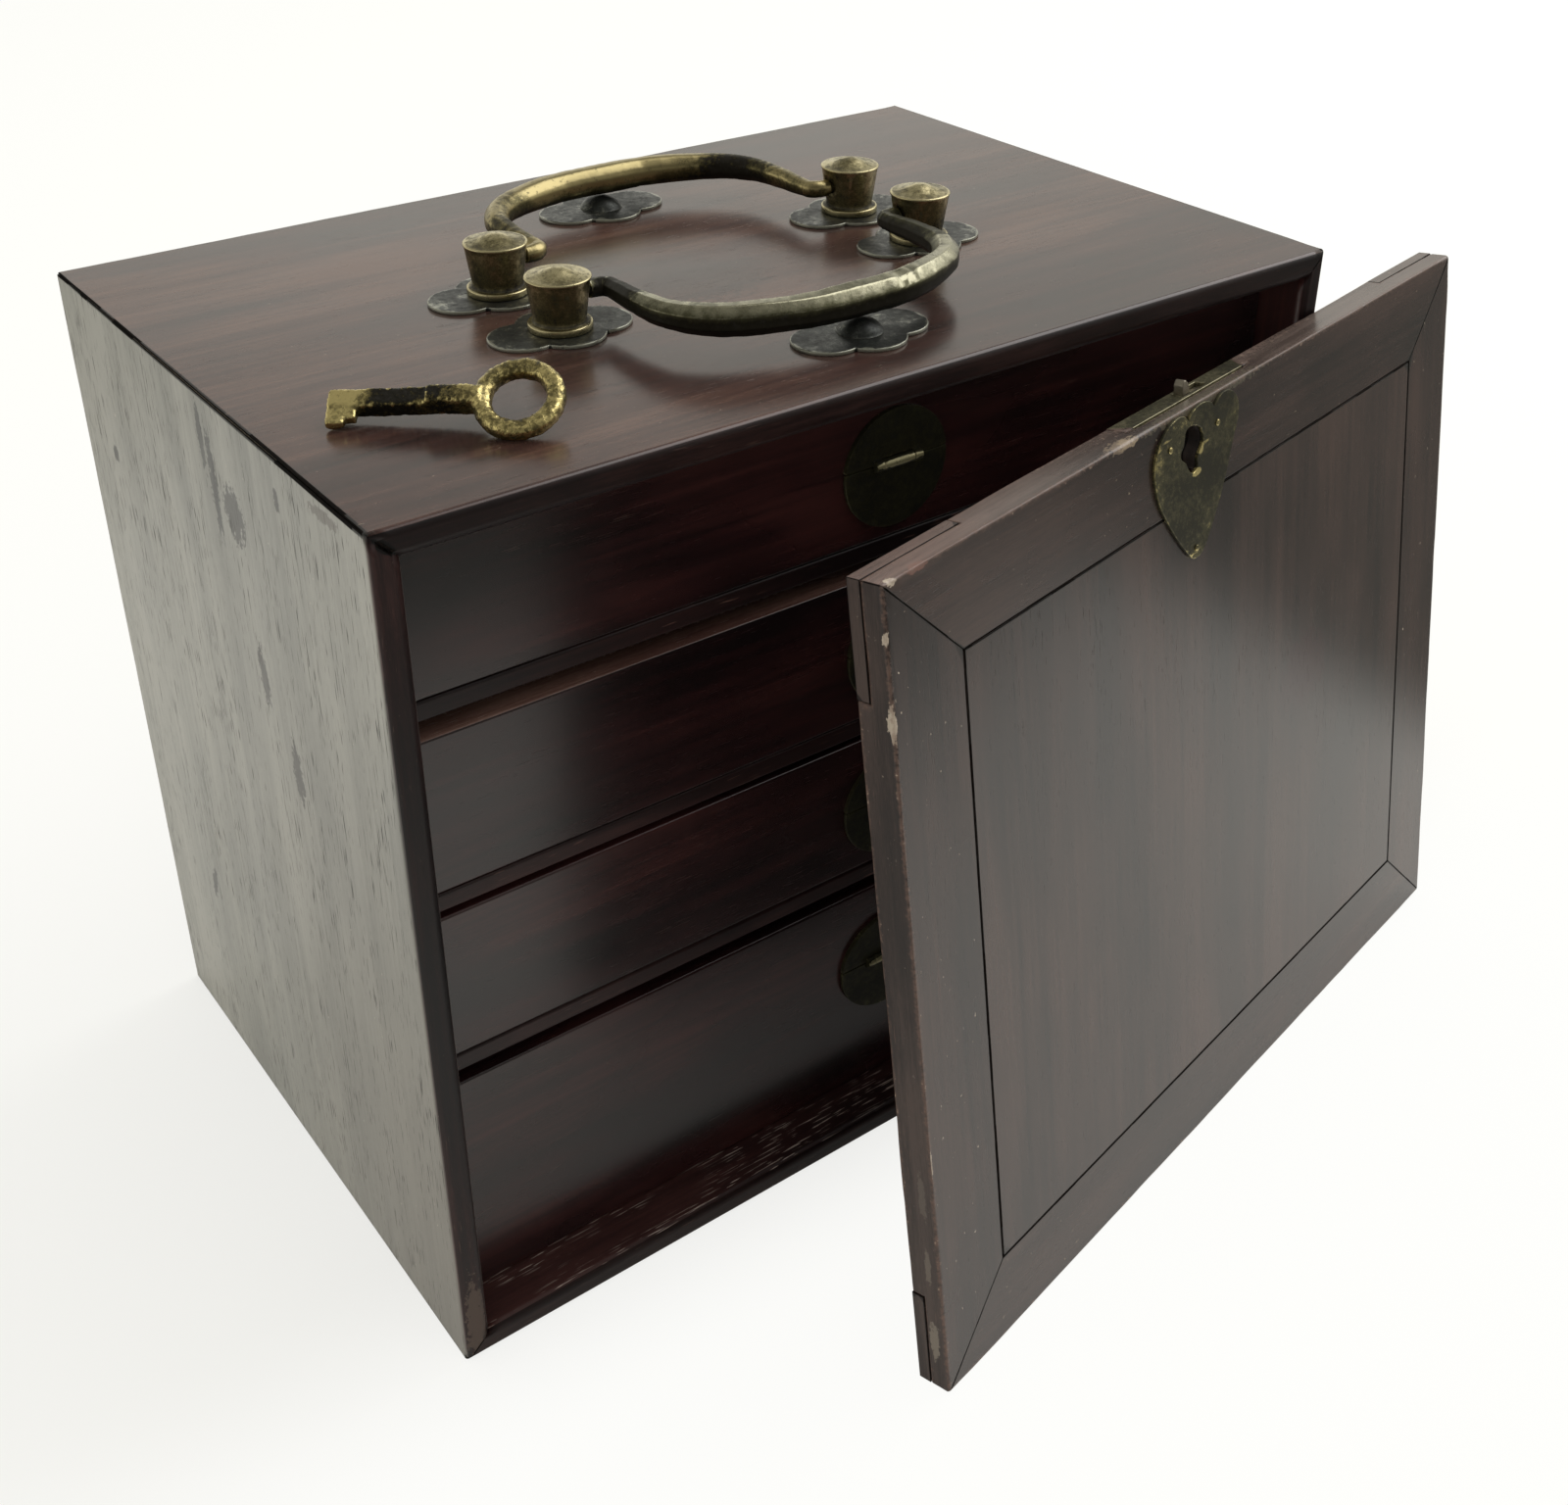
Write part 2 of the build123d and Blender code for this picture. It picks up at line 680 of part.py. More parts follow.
lock_case_low = lock_case_top - lock_case_height
lock_case_middle = (lock_case_top + lock_case_low) / 2
lock_front = door_thickness - lock_case_depth
bolt_front = door_thickness - lock_sheet - joint_gap - bolt_gap - bolt_thickness
nail_places = [
    (keyhole_x - nail_spread, door_height - nail_drop),
    (keyhole_x + nail_spread, door_height - nail_drop),
    (escutcheon_x, door_height - escutcheon_drop - escutcheon_height + nail_tip_rise),
]


def draw_key_blocks(clearance):
    """Draw the four corner blocks' outlines, grown by clearance on their inner sides."""
    for side in (-1, 1):
        for foot, up in ((0, 1), (door_height, -1)):
            Polygon(
                (side * door_half, foot),
                (side * (door_half - key_block_long - clearance), foot),
                (side * (door_half - key_block_long - clearance), foot + up * key_block_end),
                (side * (door_half - key_block_end), foot + up * (key_block_tall + clearance)),
                (side * door_half, foot + up * (key_block_tall + clearance)),
                align=None,
            )


def draw_keyhole(mode=Mode.ADD):
    """Draw the keyhole: a round hole with a slot below it."""
    slot_length = keyhole_slot_drop - keyhole_drop
    with Locations((keyhole_x, keyhole_y)):
        Circle(keyhole_radius, mode=mode)
    with Locations((keyhole_x, keyhole_y - slot_length / 2)):
        Rectangle(keyhole_slot_width, slot_length, mode=mode)


# The frame's four mitred pieces take the same cuts, and a cut that misses a piece leaves it as it is
frame_outlines = {
    "door_stile_left": [
        (-door_half, 0),
        (-door_half, door_height),
        (-field_half, field_high),
        (-field_half, field_low),
    ],
    "door_stile_right": [
        (door_half, 0),
        (door_half, door_height),
        (field_half, field_high),
        (field_half, field_low),
    ],
    "door_rail_bottom": [
        (-door_half, 0),
        (door_half, 0),
        (field_half, field_low),
        (-field_half, field_low),
    ],
    "door_rail_top": [
        (-door_half, door_height),
        (door_half, door_height),
        (field_half, field_high),
        (-field_half, field_high),
    ],
}
panel_groove = tongue_length + tongue_gap
for name, outline in frame_outlines.items():
    with BuildPart() as frame_piece:
        with BuildSketch(door_face):
            Polygon(*outline, align=None)
        extrude(amount=-door_thickness)
        with BuildSketch(door_face.offset(tongue_gap - tongue_offset)):
            with Locations((0, field_middle)):
                Rectangle(2 * (field_half + panel_groove), field_high - field_low + 2 * panel_groove)
        extrude(amount=-(tongue_thickness + 2 * tongue_gap), mode=Mode.SUBTRACT)
        with BuildSketch(door_rear):
            draw_key_blocks(joint_gap)
        extrude(amount=key_block_thickness + joint_gap, mode=Mode.SUBTRACT)
        with BuildSketch(door_rear):
            with Locations((lock_x, lock_case_middle + overrun / 2)):
                Rectangle(lock_case_length + 2 * joint_gap, lock_case_height + 2 * joint_gap + overrun)
        extrude(amount=lock_case_depth + joint_gap, mode=Mode.SUBTRACT)
        with BuildSketch(door_rear):
            with Locations((lock_x, door_height)):
                Rectangle(lock_plate_length + 2 * joint_gap, 2 * (lock_sheet + joint_gap))
        extrude(amount=lock_plate_width + joint_gap, mode=Mode.SUBTRACT)
        with BuildSketch(door_rear):
            draw_keyhole()
        extrude(amount=door_thickness + overrun, mode=Mode.SUBTRACT)
        with BuildSketch(door_face.offset(-nail_length - joint_gap)):
            with Locations(*nail_places):
                Circle(nail_shank_radius + nail_hole_gap)
        extrude(amount=nail_length + joint_gap + overrun, mode=Mode.SUBTRACT)
    frame_piece.part.label = name
    export_step(frame_piece.part, f"parts/{name}.step")

with BuildPart() as door_panel:
    with BuildSketch(door_face):
        with Locations((0, field_middle)):
            Rectangle(2 * (field_half - panel_gap), field_high - field_low - 2 * panel_gap)
    extrude(amount=-panel_thickness)
    with BuildSketch(door_face.offset(-tongue_offset)):
        with Locations((0, field_middle)):
            Rectangle(2 * (field_half + tongue_length), field_high - field_low + 2 * tongue_length)
    extrude(amount=-tongue_thickness)
    with BuildSketch(door_face.offset(-nail_length - joint_gap)):
        with Locations(*nail_places):
            Circle(nail_shank_radius + nail_hole_gap)
    extrude(amount=nail_length + joint_gap + overrun, mode=Mode.SUBTRACT)
door_panel.part.label = "door_panel"
export_step(door_panel.part, "parts/door_panel.step")

with BuildPart() as door_corner_keys:
    with BuildSketch(door_rear):
        draw_key_blocks(0)
    extrude(amount=key_block_thickness)
door_corner_keys.part.label = "door_corner_keys"
export_step(door_corner_keys.part, "parts/door_corner_keys.step")

# Lock: a sheet brass case let into the back of the top rail, closed by a cover, with a plate on the edge
with BuildPart() as lock_plate:
    with BuildSketch(door_rear):
        with Locations((lock_x, door_height - lock_sheet / 2)):
            Rectangle(lock_plate_length, lock_sheet)
    extrude(amount=lock_plate_width)
    with BuildSketch(door_face.offset(bolt_gap - bolt_front)):
        with Locations((bolt_x, door_height)):
            Rectangle(bolt_width + 2 * bolt_gap, 4 * lock_sheet)
    extrude(amount=-(bolt_thickness + 2 * bolt_gap), mode=Mode.SUBTRACT)
lock_plate.part.label = "lock_plate"
export_step(lock_plate.part, "parts/lock_plate.step")

with BuildPart() as lock_case:
    with BuildSketch(door_face.offset(-lock_front)):
        with Locations((lock_x, lock_case_middle)):
            Rectangle(lock_case_length, lock_case_height)
    extrude(amount=-(lock_case_depth - lock_sheet))
    with BuildSketch(door_face.offset(-lock_front - lock_sheet)):
        with Locations((lock_x, lock_case_middle)):
            Rectangle(lock_case_length - 2 * lock_sheet, lock_case_height - 2 * lock_sheet)
    extrude(amount=-lock_case_depth, mode=Mode.SUBTRACT)
    with BuildSketch(door_face.offset(bolt_gap - bolt_front)):
        with Locations((bolt_x, lock_case_top)):
            Rectangle(bolt_width + 2 * bolt_gap, 4 * lock_sheet)
    extrude(amount=-lock_case_depth, mode=Mode.SUBTRACT)
    with BuildSketch(door_face):
        draw_keyhole()
    extrude(amount=-door_thickness, mode=Mode.SUBTRACT)
lock_case.part.label = "lock_case"
export_step(lock_case.part, "parts/lock_case.step")

with BuildPart() as lock_cover:
    with BuildSketch(door_rear):
        with Locations((lock_x, lock_case_middle)):
            Rectangle(lock_case_length, lock_case_height)
    extrude(amount=lock_sheet - joint_gap)
lock_cover.part.label = "lock_cover"
export_step(lock_cover.part, "parts/lock_cover.step")

with BuildPart() as lock_bolt:
    with BuildSketch(door_face.offset(-bolt_front)):
        head_low = door_height - bolt_tail_drop
        head_height = bolt_tail_drop + bolt_stand
        with Locations((bolt_x, head_low + head_height / 2)):
            Rectangle(bolt_width, head_height)
        with Locations((bolt_x, head_low + bolt_tail_height / 2)):
            Rectangle(bolt_tail_width, bolt_tail_height)
    extrude(amount=-bolt_thickness)
lock_bolt.part.label = "lock_bolt"
export_step(lock_bolt.part, "parts/lock_bolt.step")

spring_bow_x = bolt_x + bolt_tail_width / 2 + lock_spring_gap
spring_end_x = spring_bow_x + lock_spring_bow
spring_low = lock_case_low + lock_sheet + joint_gap
spring_high = lock_case_top - lock_sheet - joint_gap
with BuildPart() as lock_spring:
    with BuildSketch(door_face.offset(-bolt_front)):
        with BuildLine():
            ThreePointArc(
                (spring_end_x, spring_low),
                (spring_bow_x, lock_case_middle),
                (spring_end_x, spring_high),
            )
            Line((spring_end_x, spring_high), (spring_end_x + lock_spring_thickness, spring_high))
            ThreePointArc(
                (spring_end_x + lock_spring_thickness, spring_high),
                (spring_bow_x + lock_spring_thickness, lock_case_middle),
                (spring_end_x + lock_spring_thickness, spring_low),
            )
            Line((spring_end_x + lock_spring_thickness, spring_low), (spring_end_x, spring_low))
        make_face()
    extrude(amount=-lock_spring_width)
lock_spring.part.label = "lock_spring"
export_step(lock_spring.part, "parts/lock_spring.step")

with BuildPart() as lock_pin:
    with BuildSketch(door_face.offset(lock_sheet - door_thickness)):
        with Locations((keyhole_x, keyhole_y)):
            Circle(lock_pin_radius)
    extrude(amount=lock_case_depth - 2 * lock_sheet)
lock_pin.part.label = "lock_pin"
export_step(lock_pin.part, "parts/lock_pin.step")

# Leaf-shaped escutcheon with three low lobes along the top and its point down
escutcheon_top = door_height - escutcheon_drop
shoulder_y = escutcheon_top - escutcheon_shoulder_radius
shoulder_x = escutcheon_half_width - escutcheon_shoulder_radius
flank_x = escutcheon_half_width * escutcheon_flank_shares[0]
flank_y = escutcheon_top - escutcheon_height * escutcheon_flank_shares[1]
with BuildPart() as escutcheon:
    with BuildSketch(door_face):
        with BuildLine():
            Spline(
                (escutcheon_x - escutcheon_half_width, shoulder_y),
                (escutcheon_x - flank_x, flank_y),
                (escutcheon_x, escutcheon_top - escutcheon_height),
                tangents=[(0, -1), (escutcheon_tip_share, -1)],
            )
            Spline(
                (escutcheon_x, escutcheon_top - escutcheon_height),
                (escutcheon_x + flank_x, flank_y),
                (escutcheon_x + escutcheon_half_width, shoulder_y),
                tangents=[(escutcheon_tip_share, 1), (0, 1)],
            )
            Line(
                (escutcheon_x + escutcheon_half_width, shoulder_y),
                (escutcheon_x - escutcheon_half_width, shoulder_y),
            )
        make_face()
        with Locations((escutcheon_x - shoulder_x, shoulder_y), (escutcheon_x + shoulder_x, shoulder_y)):
            Circle(escutcheon_shoulder_radius)
        with Locations((escutcheon_x, escutcheon_top - escutcheon_lobe_radius)):
            Circle(escutcheon_lobe_radius)
        draw_keyhole(mode=Mode.SUBTRACT)
        with Locations(*nail_places):
            Circle(nail_shank_radius + nail_hole_gap, mode=Mode.SUBTRACT)
    extrude(amount=escutcheon_sheet)
escutcheon.part.label = "escutcheon"
export_step(escutcheon.part, "parts/escutcheon.step")

with BuildPart() as escutcheon_nails:
    with BuildSketch(door_face.offset(-nail_length)):
        with Locations(*nail_places):
            Circle(nail_shank_radius)
    extrude(amount=nail_length + escutcheon_sheet)
    with BuildSketch(door_face.offset(escutcheon_sheet)):
        with Locations(*nail_places):
            Circle(nail_radius)
    extrude(amount=nail_radius / 2)
escutcheon_nails.part.label = "escutcheon_nails"
export_step(escutcheon_nails.part, "parts/escutcheon_nails.step")

# Key: a cast bow, a stepped stem and a notched bit, lying on the top on its bow and its bit
turn = radians(key_turn)
roll = radians(key_roll)
slope = radians(key_slope)
stem_dir = Vector(cos(turn) * cos(slope), -sin(turn) * cos(slope), sin(slope))
across_dir = Vector(sin(turn) * cos(roll), cos(turn) * cos(roll), sin(roll))
key_plane = Plane(
    origin=(key_left_inset - half_width, key_front_inset - half_depth, case_height + key_lift),
    x_dir=stem_dir,
    z_dir=stem_dir.cross(across_dir),
)
stem_start = -bow_radius + bow_bar / 2
stem_end = stem_start - stem_length
stem_plane = Plane(
    origin=key_plane.from_local_coords((stem_end, 0, 0)),
    x_dir=key_plane.y_dir,
    z_dir=key_plane.x_dir,
)
with BuildPart() as key:
    with BuildSketch(key_plane.offset(-bow_bar / 2)):
        Circle(bow_radius)
        Circle(bow_radius - bow_bar, mode=Mode.SUBTRACT)
    extrude(amount=bow_bar)
    fillet(edges().filter_by(GeomType.CIRCLE), bow_round)
    with BuildSketch(stem_plane):
        RectangleRounded(stem_width, stem_thickness, stem_round)
    extrude(amount=stem_length)
    with BuildSketch(key_plane.offset(stem_thickness / 2)):
        with Locations((stem_end, 0)):
            Rectangle(2 * (stem_length - stem_step), 2 * stem_width)
    extrude(amount=-stem_step_drop, mode=Mode.SUBTRACT)
    with BuildSketch(key_plane.offset(-bit_thickness / 2)):
        with Locations((stem_end + bit_length / 2, -bit_reach / 2)):
            Rectangle(bit_length, bit_reach)
        with Locations((stem_end + bit_length - bit_notch_length / 2, -bit_reach)):
            Rectangle(bit_notch_length, bit_notch_reach, mode=Mode.SUBTRACT)
    extrude(amount=bit_thickness)
key.part.label = "key"
export_step(key.part, "parts/key.step")

print("door lean, degrees:", degrees(lean))
print("key above the top:", key.part.bounding_box().min.Z - case_height)
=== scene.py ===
import math

import bmesh
import bpy
from mathutils import Matrix, Vector, noise


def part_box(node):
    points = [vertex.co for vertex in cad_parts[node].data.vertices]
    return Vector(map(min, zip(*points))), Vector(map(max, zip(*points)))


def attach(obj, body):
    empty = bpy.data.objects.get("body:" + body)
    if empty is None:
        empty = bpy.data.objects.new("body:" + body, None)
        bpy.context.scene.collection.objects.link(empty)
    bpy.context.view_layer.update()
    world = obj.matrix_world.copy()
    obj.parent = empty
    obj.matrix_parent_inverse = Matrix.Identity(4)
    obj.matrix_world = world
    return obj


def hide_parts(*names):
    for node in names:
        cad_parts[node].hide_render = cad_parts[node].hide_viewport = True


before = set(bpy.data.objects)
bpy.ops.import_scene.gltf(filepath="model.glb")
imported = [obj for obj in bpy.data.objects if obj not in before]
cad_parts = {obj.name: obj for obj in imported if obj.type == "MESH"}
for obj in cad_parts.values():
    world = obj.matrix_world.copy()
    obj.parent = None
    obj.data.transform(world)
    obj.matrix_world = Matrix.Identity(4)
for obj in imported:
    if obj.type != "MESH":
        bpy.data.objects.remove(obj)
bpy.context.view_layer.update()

# Sizes in mm and directions. The case stands on z = 0 with its middle at x = y = 0
MM = 0.001
X, Y, Z = Vector((1, 0, 0)), Vector((0, 1, 0)), Vector((0, 0, 1))
CASE_HALF_WIDTH, CASE_HALF_DEPTH, CASE_HEIGHT = 119.0, 77.5, 200.0
DRAWERS = (1, 2, 3, 4)
POST_X, FRONT_POST_Y, REAR_POST_Y = 47.5, -17.8, 8.0
PLATE_TOP = 200.8
PIVOT_Z = 207.5

# The door's front face: middle of its lower edge, its outward direction, half its width, and its height
YAW, LEAN = math.radians(12.14), math.radians(7.645531520766865)
DOOR_HALF, DOOR_HEIGHT, DOOR_THICK = 112.7, 187.4, 8.0
DOOR_CORNER = (-41.7, -145.7)
DOOR_X = Vector((math.cos(YAW), math.sin(YAW), 0))
DOOR_OUT = Vector((math.sin(YAW) * math.cos(LEAN), -math.cos(YAW) * math.cos(LEAN), math.sin(LEAN)))
DOOR_UP = DOOR_OUT.cross(DOOR_X)
DOOR_ORIGIN = Vector((
    DOOR_CORNER[0] + DOOR_HALF * math.cos(YAW), DOOR_CORNER[1] + DOOR_HALF * math.sin(YAW), DOOR_THICK * math.sin(LEAN)
))


def door_point(x, y, out=0.0):
    """A point in mm from door coordinates: x along, y up, out of the front face."""
    return DOOR_ORIGIN + DOOR_X * x + DOOR_UP * y + DOOR_OUT * out


def srgb(red, green, blue):
    """A linear colour from an 8-bit sRGB one."""
    values = [channel / 255 for channel in (red, green, blue)]
    return (*[v / 12.92 if v <= 0.04045 else ((v + 0.055) / 1.055) ** 2.4 for v in values], 1.0)


class Shader:
    """A material's or a world's node tree, with short names for the nodes it uses."""

    def __init__(self, name, world=False):
        self.owner = (bpy.data.worlds if world else bpy.data.materials).new(name)
        self.owner.use_nodes = True
        self.tree = self.owner.node_tree
        self.tree.nodes.clear()

    def add(self, kind, inputs, **settings):
        node = self.tree.nodes.new("ShaderNode" + kind)
        for key, value in settings.items():
            setattr(node, key, value)
        for key, value in inputs.items():
            if isinstance(value, bpy.types.NodeSocket):
                self.tree.links.new(value, node.inputs[key])
            else:
                node.inputs[key].default_value = value
        return node

    def math(self, operation, a, b=0.0, clamp=False):
        return self.add("Math", {0: a, 1: b}, operation=operation, use_clamp=clamp).outputs[0]

    def times(self, a, b):
        return self.math("MULTIPLY", a, b)

    def plus(self, a, b):
        return self.math("ADD", a, b)

    def mix(self, factor, a, b):
        return self.add("Mix", {0: factor, 6: a, 7: b}, data_type="RGBA").outputs[2]

    def noise(self, vector, scale, detail=2.0, rough=0.5, distortion=0.0):
        inputs = {"Vector": vector, "Scale": scale, "Detail": detail, "Roughness": rough, "Distortion": distortion}
        return self.add("TexNoise", inputs).outputs[0]

    def span(self, value, low, high, start=0.0, end=1.0):
        inputs = {0: value, 1: low, 2: high, 3: start, 4: end}
        return self.add("MapRange", inputs, interpolation_type="SMOOTHSTEP").outputs[0]

    def ramp(self, factor, *stops):
        node = self.add("ValToRGB", {0: factor})
        elements = node.color_ramp.elements
        while len(elements) < len(stops):
            elements.new(0.5)
        for element, (position, colour) in zip(elements, stops):
            element.position = position
            element.color = colour
        return node.outputs[0]

    def attribute(self, name):
        return self.add("Attribute", {}, attribute_name=name).outputs["Fac"]

    def millimetres(self):
        metres = self.add("TexCoord", {}).outputs["Object"]
        return self.add("VectorMath", {0: metres, 3: 1000.0}, operation="SCALE").outputs[0]

    def along(self, vector, axis, scale, shift=0.0):
        dot = self.add("VectorMath", {0: vector, 1: tuple(axis)}, operation="DOT_PRODUCT").outputs["Value"]
        return self.plus(self.times(dot, scale), shift)

    def stretched(self, vector, axes, scales, shift):
        parts = [self.along(vector, axis, scale, shift) for axis, scale in zip(axes, scales)]
        return self.add("CombineXYZ", dict(enumerate(parts))).outputs[0]

    def blob(self, vector, centre, radii, axes):
        """1 at a centre, falling to 0 at an ellipsoid's radii."""
        away = self.add("VectorMath", {0: vector, 1: tuple(centre)}, operation="SUBTRACT").outputs[0]
        parts = [self.along(away, axis, 1 / radius) for axis, radius in zip(axes, radii)]
        point = self.add("CombineXYZ", dict(enumerate(parts))).outputs[0]
        length = self.add("VectorMath", {0: point}, operation="LENGTH").outputs["Value"]
        return self.math("SUBTRACT", 1.0, length, clamp=True)

    def bump(self, height, strength, distance):
        return self.add("Bump", {"Height": height, "Strength": strength, "Distance": distance}).outputs[0]

    def surface(self, **inputs):
        named = {key.replace("_", " "): value for key, value in inputs.items()}
        shader = self.add("BsdfPrincipled", named)
        self.add("OutputMaterial", {"Surface": shader.outputs[0]})
        return self.owner


# Colours that several woods share
WORN = srgb(112, 88, 78)
PALE = srgb(186, 172, 156)
FLECK = srgb(176, 158, 138)
JOINT_DIRT = srgb(6, 5, 5)
DUST = (0.85, 0.84, 0.78, 1.0)


def wood(
    name, axes, seed, deep, middle, light, worn, rough=0.3, pores=0.5, stains_and_painted_light=(), zones=(), scuffs=0.3, dust=0.0,
    grain=(0.2, 3.4, 3.4), dense=0.665, rubbed=0.665, specular=0.5, relief=1.0,
):
    """Rosewood: bands, streaks and pores along the first axis, rubbed arrises and dirty joints.

    A zone repaints a part of the piece: (axis, none, all) rows that bound it in mm, its two colours, its strength.
    Stains, painted highlights and painted shade are ellipsoids: centre, radii and their axes, strength, colour.
    """
    s = Shader(name)
    where = s.millimetres()
    shift = seed * 37.7

    def lengthwise(scales, move, *settings):
        return s.noise(s.stretched(where, axes, scales, shift + move), 1.0, *settings)

    bands = lengthwise((0.006, 0.075, 0.075), 0, 4.0, 0.55, 0.6)
    streaks = lengthwise((0.02, 0.75, 0.75), 0, 3.0, 0.6, 0.3)
    fibre = lengthwise(grain, 0, 2.0, 0.55)
    fine = lengthwise((0.45, 6.5, 6.5), 3, 2.0, 0.6)
    cloud = lengthwise((0.016, 0.03, 0.03), 5, 3.0, 0.55)
    patch = lengthwise((0.03, 0.11, 0.11), 9, 2.0, 0.5)
    grit = s.noise(where, 0.9, 3.0, 0.65)
    ragged = lengthwise((0.35, 0.9, 0.9), 31, 4.0, 0.7)
    uneven = s.plus(s.times(s.math("SUBTRACT", cloud, 0.5), 0.7), s.times(s.math("SUBTRACT", fine, 0.5), 0.3))
    tone = s.plus(s.plus(s.times(bands, 0.6), s.times(streaks, 0.4)), uneven)
    colour = s.ramp(tone, (0.33, deep), (0.5, middle), (0.68, light))
    for bounds, zone_deep, zone_light, strength in zones:
        inside = strength
        for axis, start, end in bounds:
            inside = s.times(s.span(s.along(where, axis, 1.0), start, end), inside)
        colour = s.mix(inside, colour, s.ramp(tone, (0.34, zone_deep), (0.66, zone_light)))
    pore = s.times(s.span(s.plus(fibre, s.times(s.math("SUBTRACT", patch, 0.5), 0.2)), dense, dense + 0.06), pores)
    colour = s.mix(s.times(pore, 0.7), colour, (deep[0] * 0.4, deep[1] * 0.4, deep[2] * 0.4, 1.0))
    line = lengthwise((0.13, 2.8, 2.8), 21, 2.0, 0.5)
    scuff = s.times(s.times(s.span(line, rubbed, rubbed + 0.045), s.span(patch, 0.42, 0.6)), scuffs)
    colour = s.mix(scuff, colour, worn)
    seam = s.span(s.attribute("seam"), 0.84, 0.95)
    colour = s.mix(s.times(seam, 0.95), colour, JOINT_DIRT)
    torn = s.plus(s.math("SUBTRACT", ragged, 0.5), s.times(s.math("SUBTRACT", grit, 0.5), 0.7))
    for centre, radii, mark_axes, strength, mark_colour in stains_and_painted_light:
        frayed = 1.3 if strength < 1 else 0.3
        fall = s.plus(s.blob(where, centre, radii, mark_axes), s.times(torn, frayed))
        colour = s.mix(s.times(s.span(fall, 0.3, 0.42), strength), colour, mark_colour)
    wear = s.attribute("wear")
    rub = s.span(s.plus(wear, s.times(s.math("SUBTRACT", grit, 0.62), 1.1)), 0.62, 0.98)
    colour = s.mix(s.times(rub, 0.6), colour, worn)
    fleck = s.times(s.span(grit, 0.66, 0.72), s.span(wear, 0.6, 0.95))
    colour = s.mix(s.times(fleck, 0.7), colour, FLECK)
    gloss = s.plus(s.plus(rough, s.times(s.math("SUBTRACT", cloud, 0.5), 0.18)), s.times(pore, 0.2))
    gloss = s.plus(gloss, s.plus(s.times(rub, 0.18), s.plus(s.times(scuff, 0.3), s.times(seam, 0.3))))
    grainy = s.plus(s.times(streaks, 0.1), s.plus(s.times(fine, 0.14), s.times(grit, 0.06)))
    height = s.plus(s.times(pore, -1.0), grainy)
    normal = s.bump(s.plus(height, s.times(scuff, -0.3)), 0.4 * relief, 0.00006)
    return s.surface(
        Base_Color=colour, Roughness=gloss, Normal=normal, IOR=1.6, Specular_IOR_Level=specular,
        Sheen_Weight=dust, Sheen_Roughness=0.45, Sheen_Tint=DUST,
    )


def brass(
    name, seed, bright, olive, grime, shine=0.5, rough=0.3, pitted=0.4, metal=1.0, spots_and_highlights=(), mottle=1.0, painted_shade_below=None,
    rims=0.42,
):
    """Old brass: clean metal on the rubbed places, olive patina, and brown-black grime in the hollows.

    A spot is an ellipsoid, cleaner or, with a negative strength, dirtier: centre, radii, axes, strength; some are
    painted highlights.
    The shade below is (low, high, amount): painted shade that darkens the metal from one height in mm down to the
    other.
    """
    s = Shader(name)
    where = s.millimetres()
    moved = s.add("VectorMath", {0: where, 1: (seed * 31.0, seed * 17.0, seed * 7.0)}, operation="ADD").outputs[0]
    large = s.noise(moved, 0.11, 3.0, 0.55)
    small = s.noise(moved, 0.75, 3.0, 0.62)
    speck = s.noise(moved, 3.2, 2.0, 0.6)
    point = s.add("NewGeometry", {}).outputs["Pointiness"]
    edge = s.span(point, 0.505, 0.56)
    hollow = s.span(point, 0.497, 0.45)
    cover = s.plus(s.plus(s.times(large, 0.6), s.times(small, 0.5)), s.times(s.math("SUBTRACT", speck, 0.5), 0.35))
    cover = s.plus(s.times(s.math("SUBTRACT", cover, 0.55), mottle), 0.55)
    cover = s.math("SUBTRACT", cover, s.times(edge, rims))
    # Painted shade: darker towards the bottom
    if painted_shade_below:
        low, high, amount = painted_shade_below
        cover = s.plus(cover, s.span(s.along(where, Z, 1.0), high, low, 0.0, amount))
    for centre, radii, axes, strength in spots_and_highlights:
        near = s.plus(s.blob(where, centre, radii, axes), s.times(s.math("SUBTRACT", small, 0.5), 0.6))
        cover = s.math("SUBTRACT", cover, s.times(s.span(near, 0.1, 0.5), strength))
    colour = s.ramp(cover, (shine - 0.1, bright), (shine + 0.07, olive), (shine + 0.26, grime))
    dirt = s.math("MAXIMUM", s.times(hollow, 0.8), s.times(s.span(s.plus(small, s.times(speck, 0.3)), 0.74, 0.9), 0.6))
    colour = s.mix(dirt, colour, grime)
    gloss = s.plus(s.span(cover, shine - 0.15, shine + 0.3, rough, rough + 0.25), s.times(dirt, 0.2))
    metallic = s.span(s.plus(cover, dirt), shine, shine + 0.6, metal, metal * 0.5)
    height = s.plus(s.times(large, 1.5), s.plus(s.times(small, pitted), s.times(speck, pitted * 0.35)))
    normal = s.bump(height, 0.45, 0.00022)
    return s.surface(Base_Color=colour, Metallic=metallic, Roughness=gloss, Normal=normal)


def plain_wood(name, axes, seed, deep, light):
    """The unfinished wood inside the drawers."""
    s = Shader(name)
    where = s.millimetres()
    bands = s.noise(s.stretched(where, axes, (0.008, 0.1, 0.1), seed * 13.0), 1.0, 4.0, 0.55, 0.8)
    fibre = s.noise(s.stretched(where, axes, (0.08, 1.8, 1.8), seed * 13.0), 1.0, 3.0, 0.6)
    colour = s.ramp(s.plus(s.times(bands, 0.6), s.times(fibre, 0.4)), (0.35, deep), (0.65, light))
    gloss = s.plus(0.55, s.times(fibre, 0.25))
    return s.surface(Base_Color=colour, Roughness=gloss, Normal=s.bump(fibre, 0.5, 0.0002))


def linked(name, data):
    """A new object in the scene."""
    made = bpy.data.objects.new(name, data)
    bpy.context.scene.collection.objects.link(made)
    return made


def mesh_of(bm, name):
    """A mesh made from a bmesh, which is freed."""
    mesh = bpy.data.meshes.new(name)
    bm.to_mesh(mesh)
    bm.free()
    return mesh


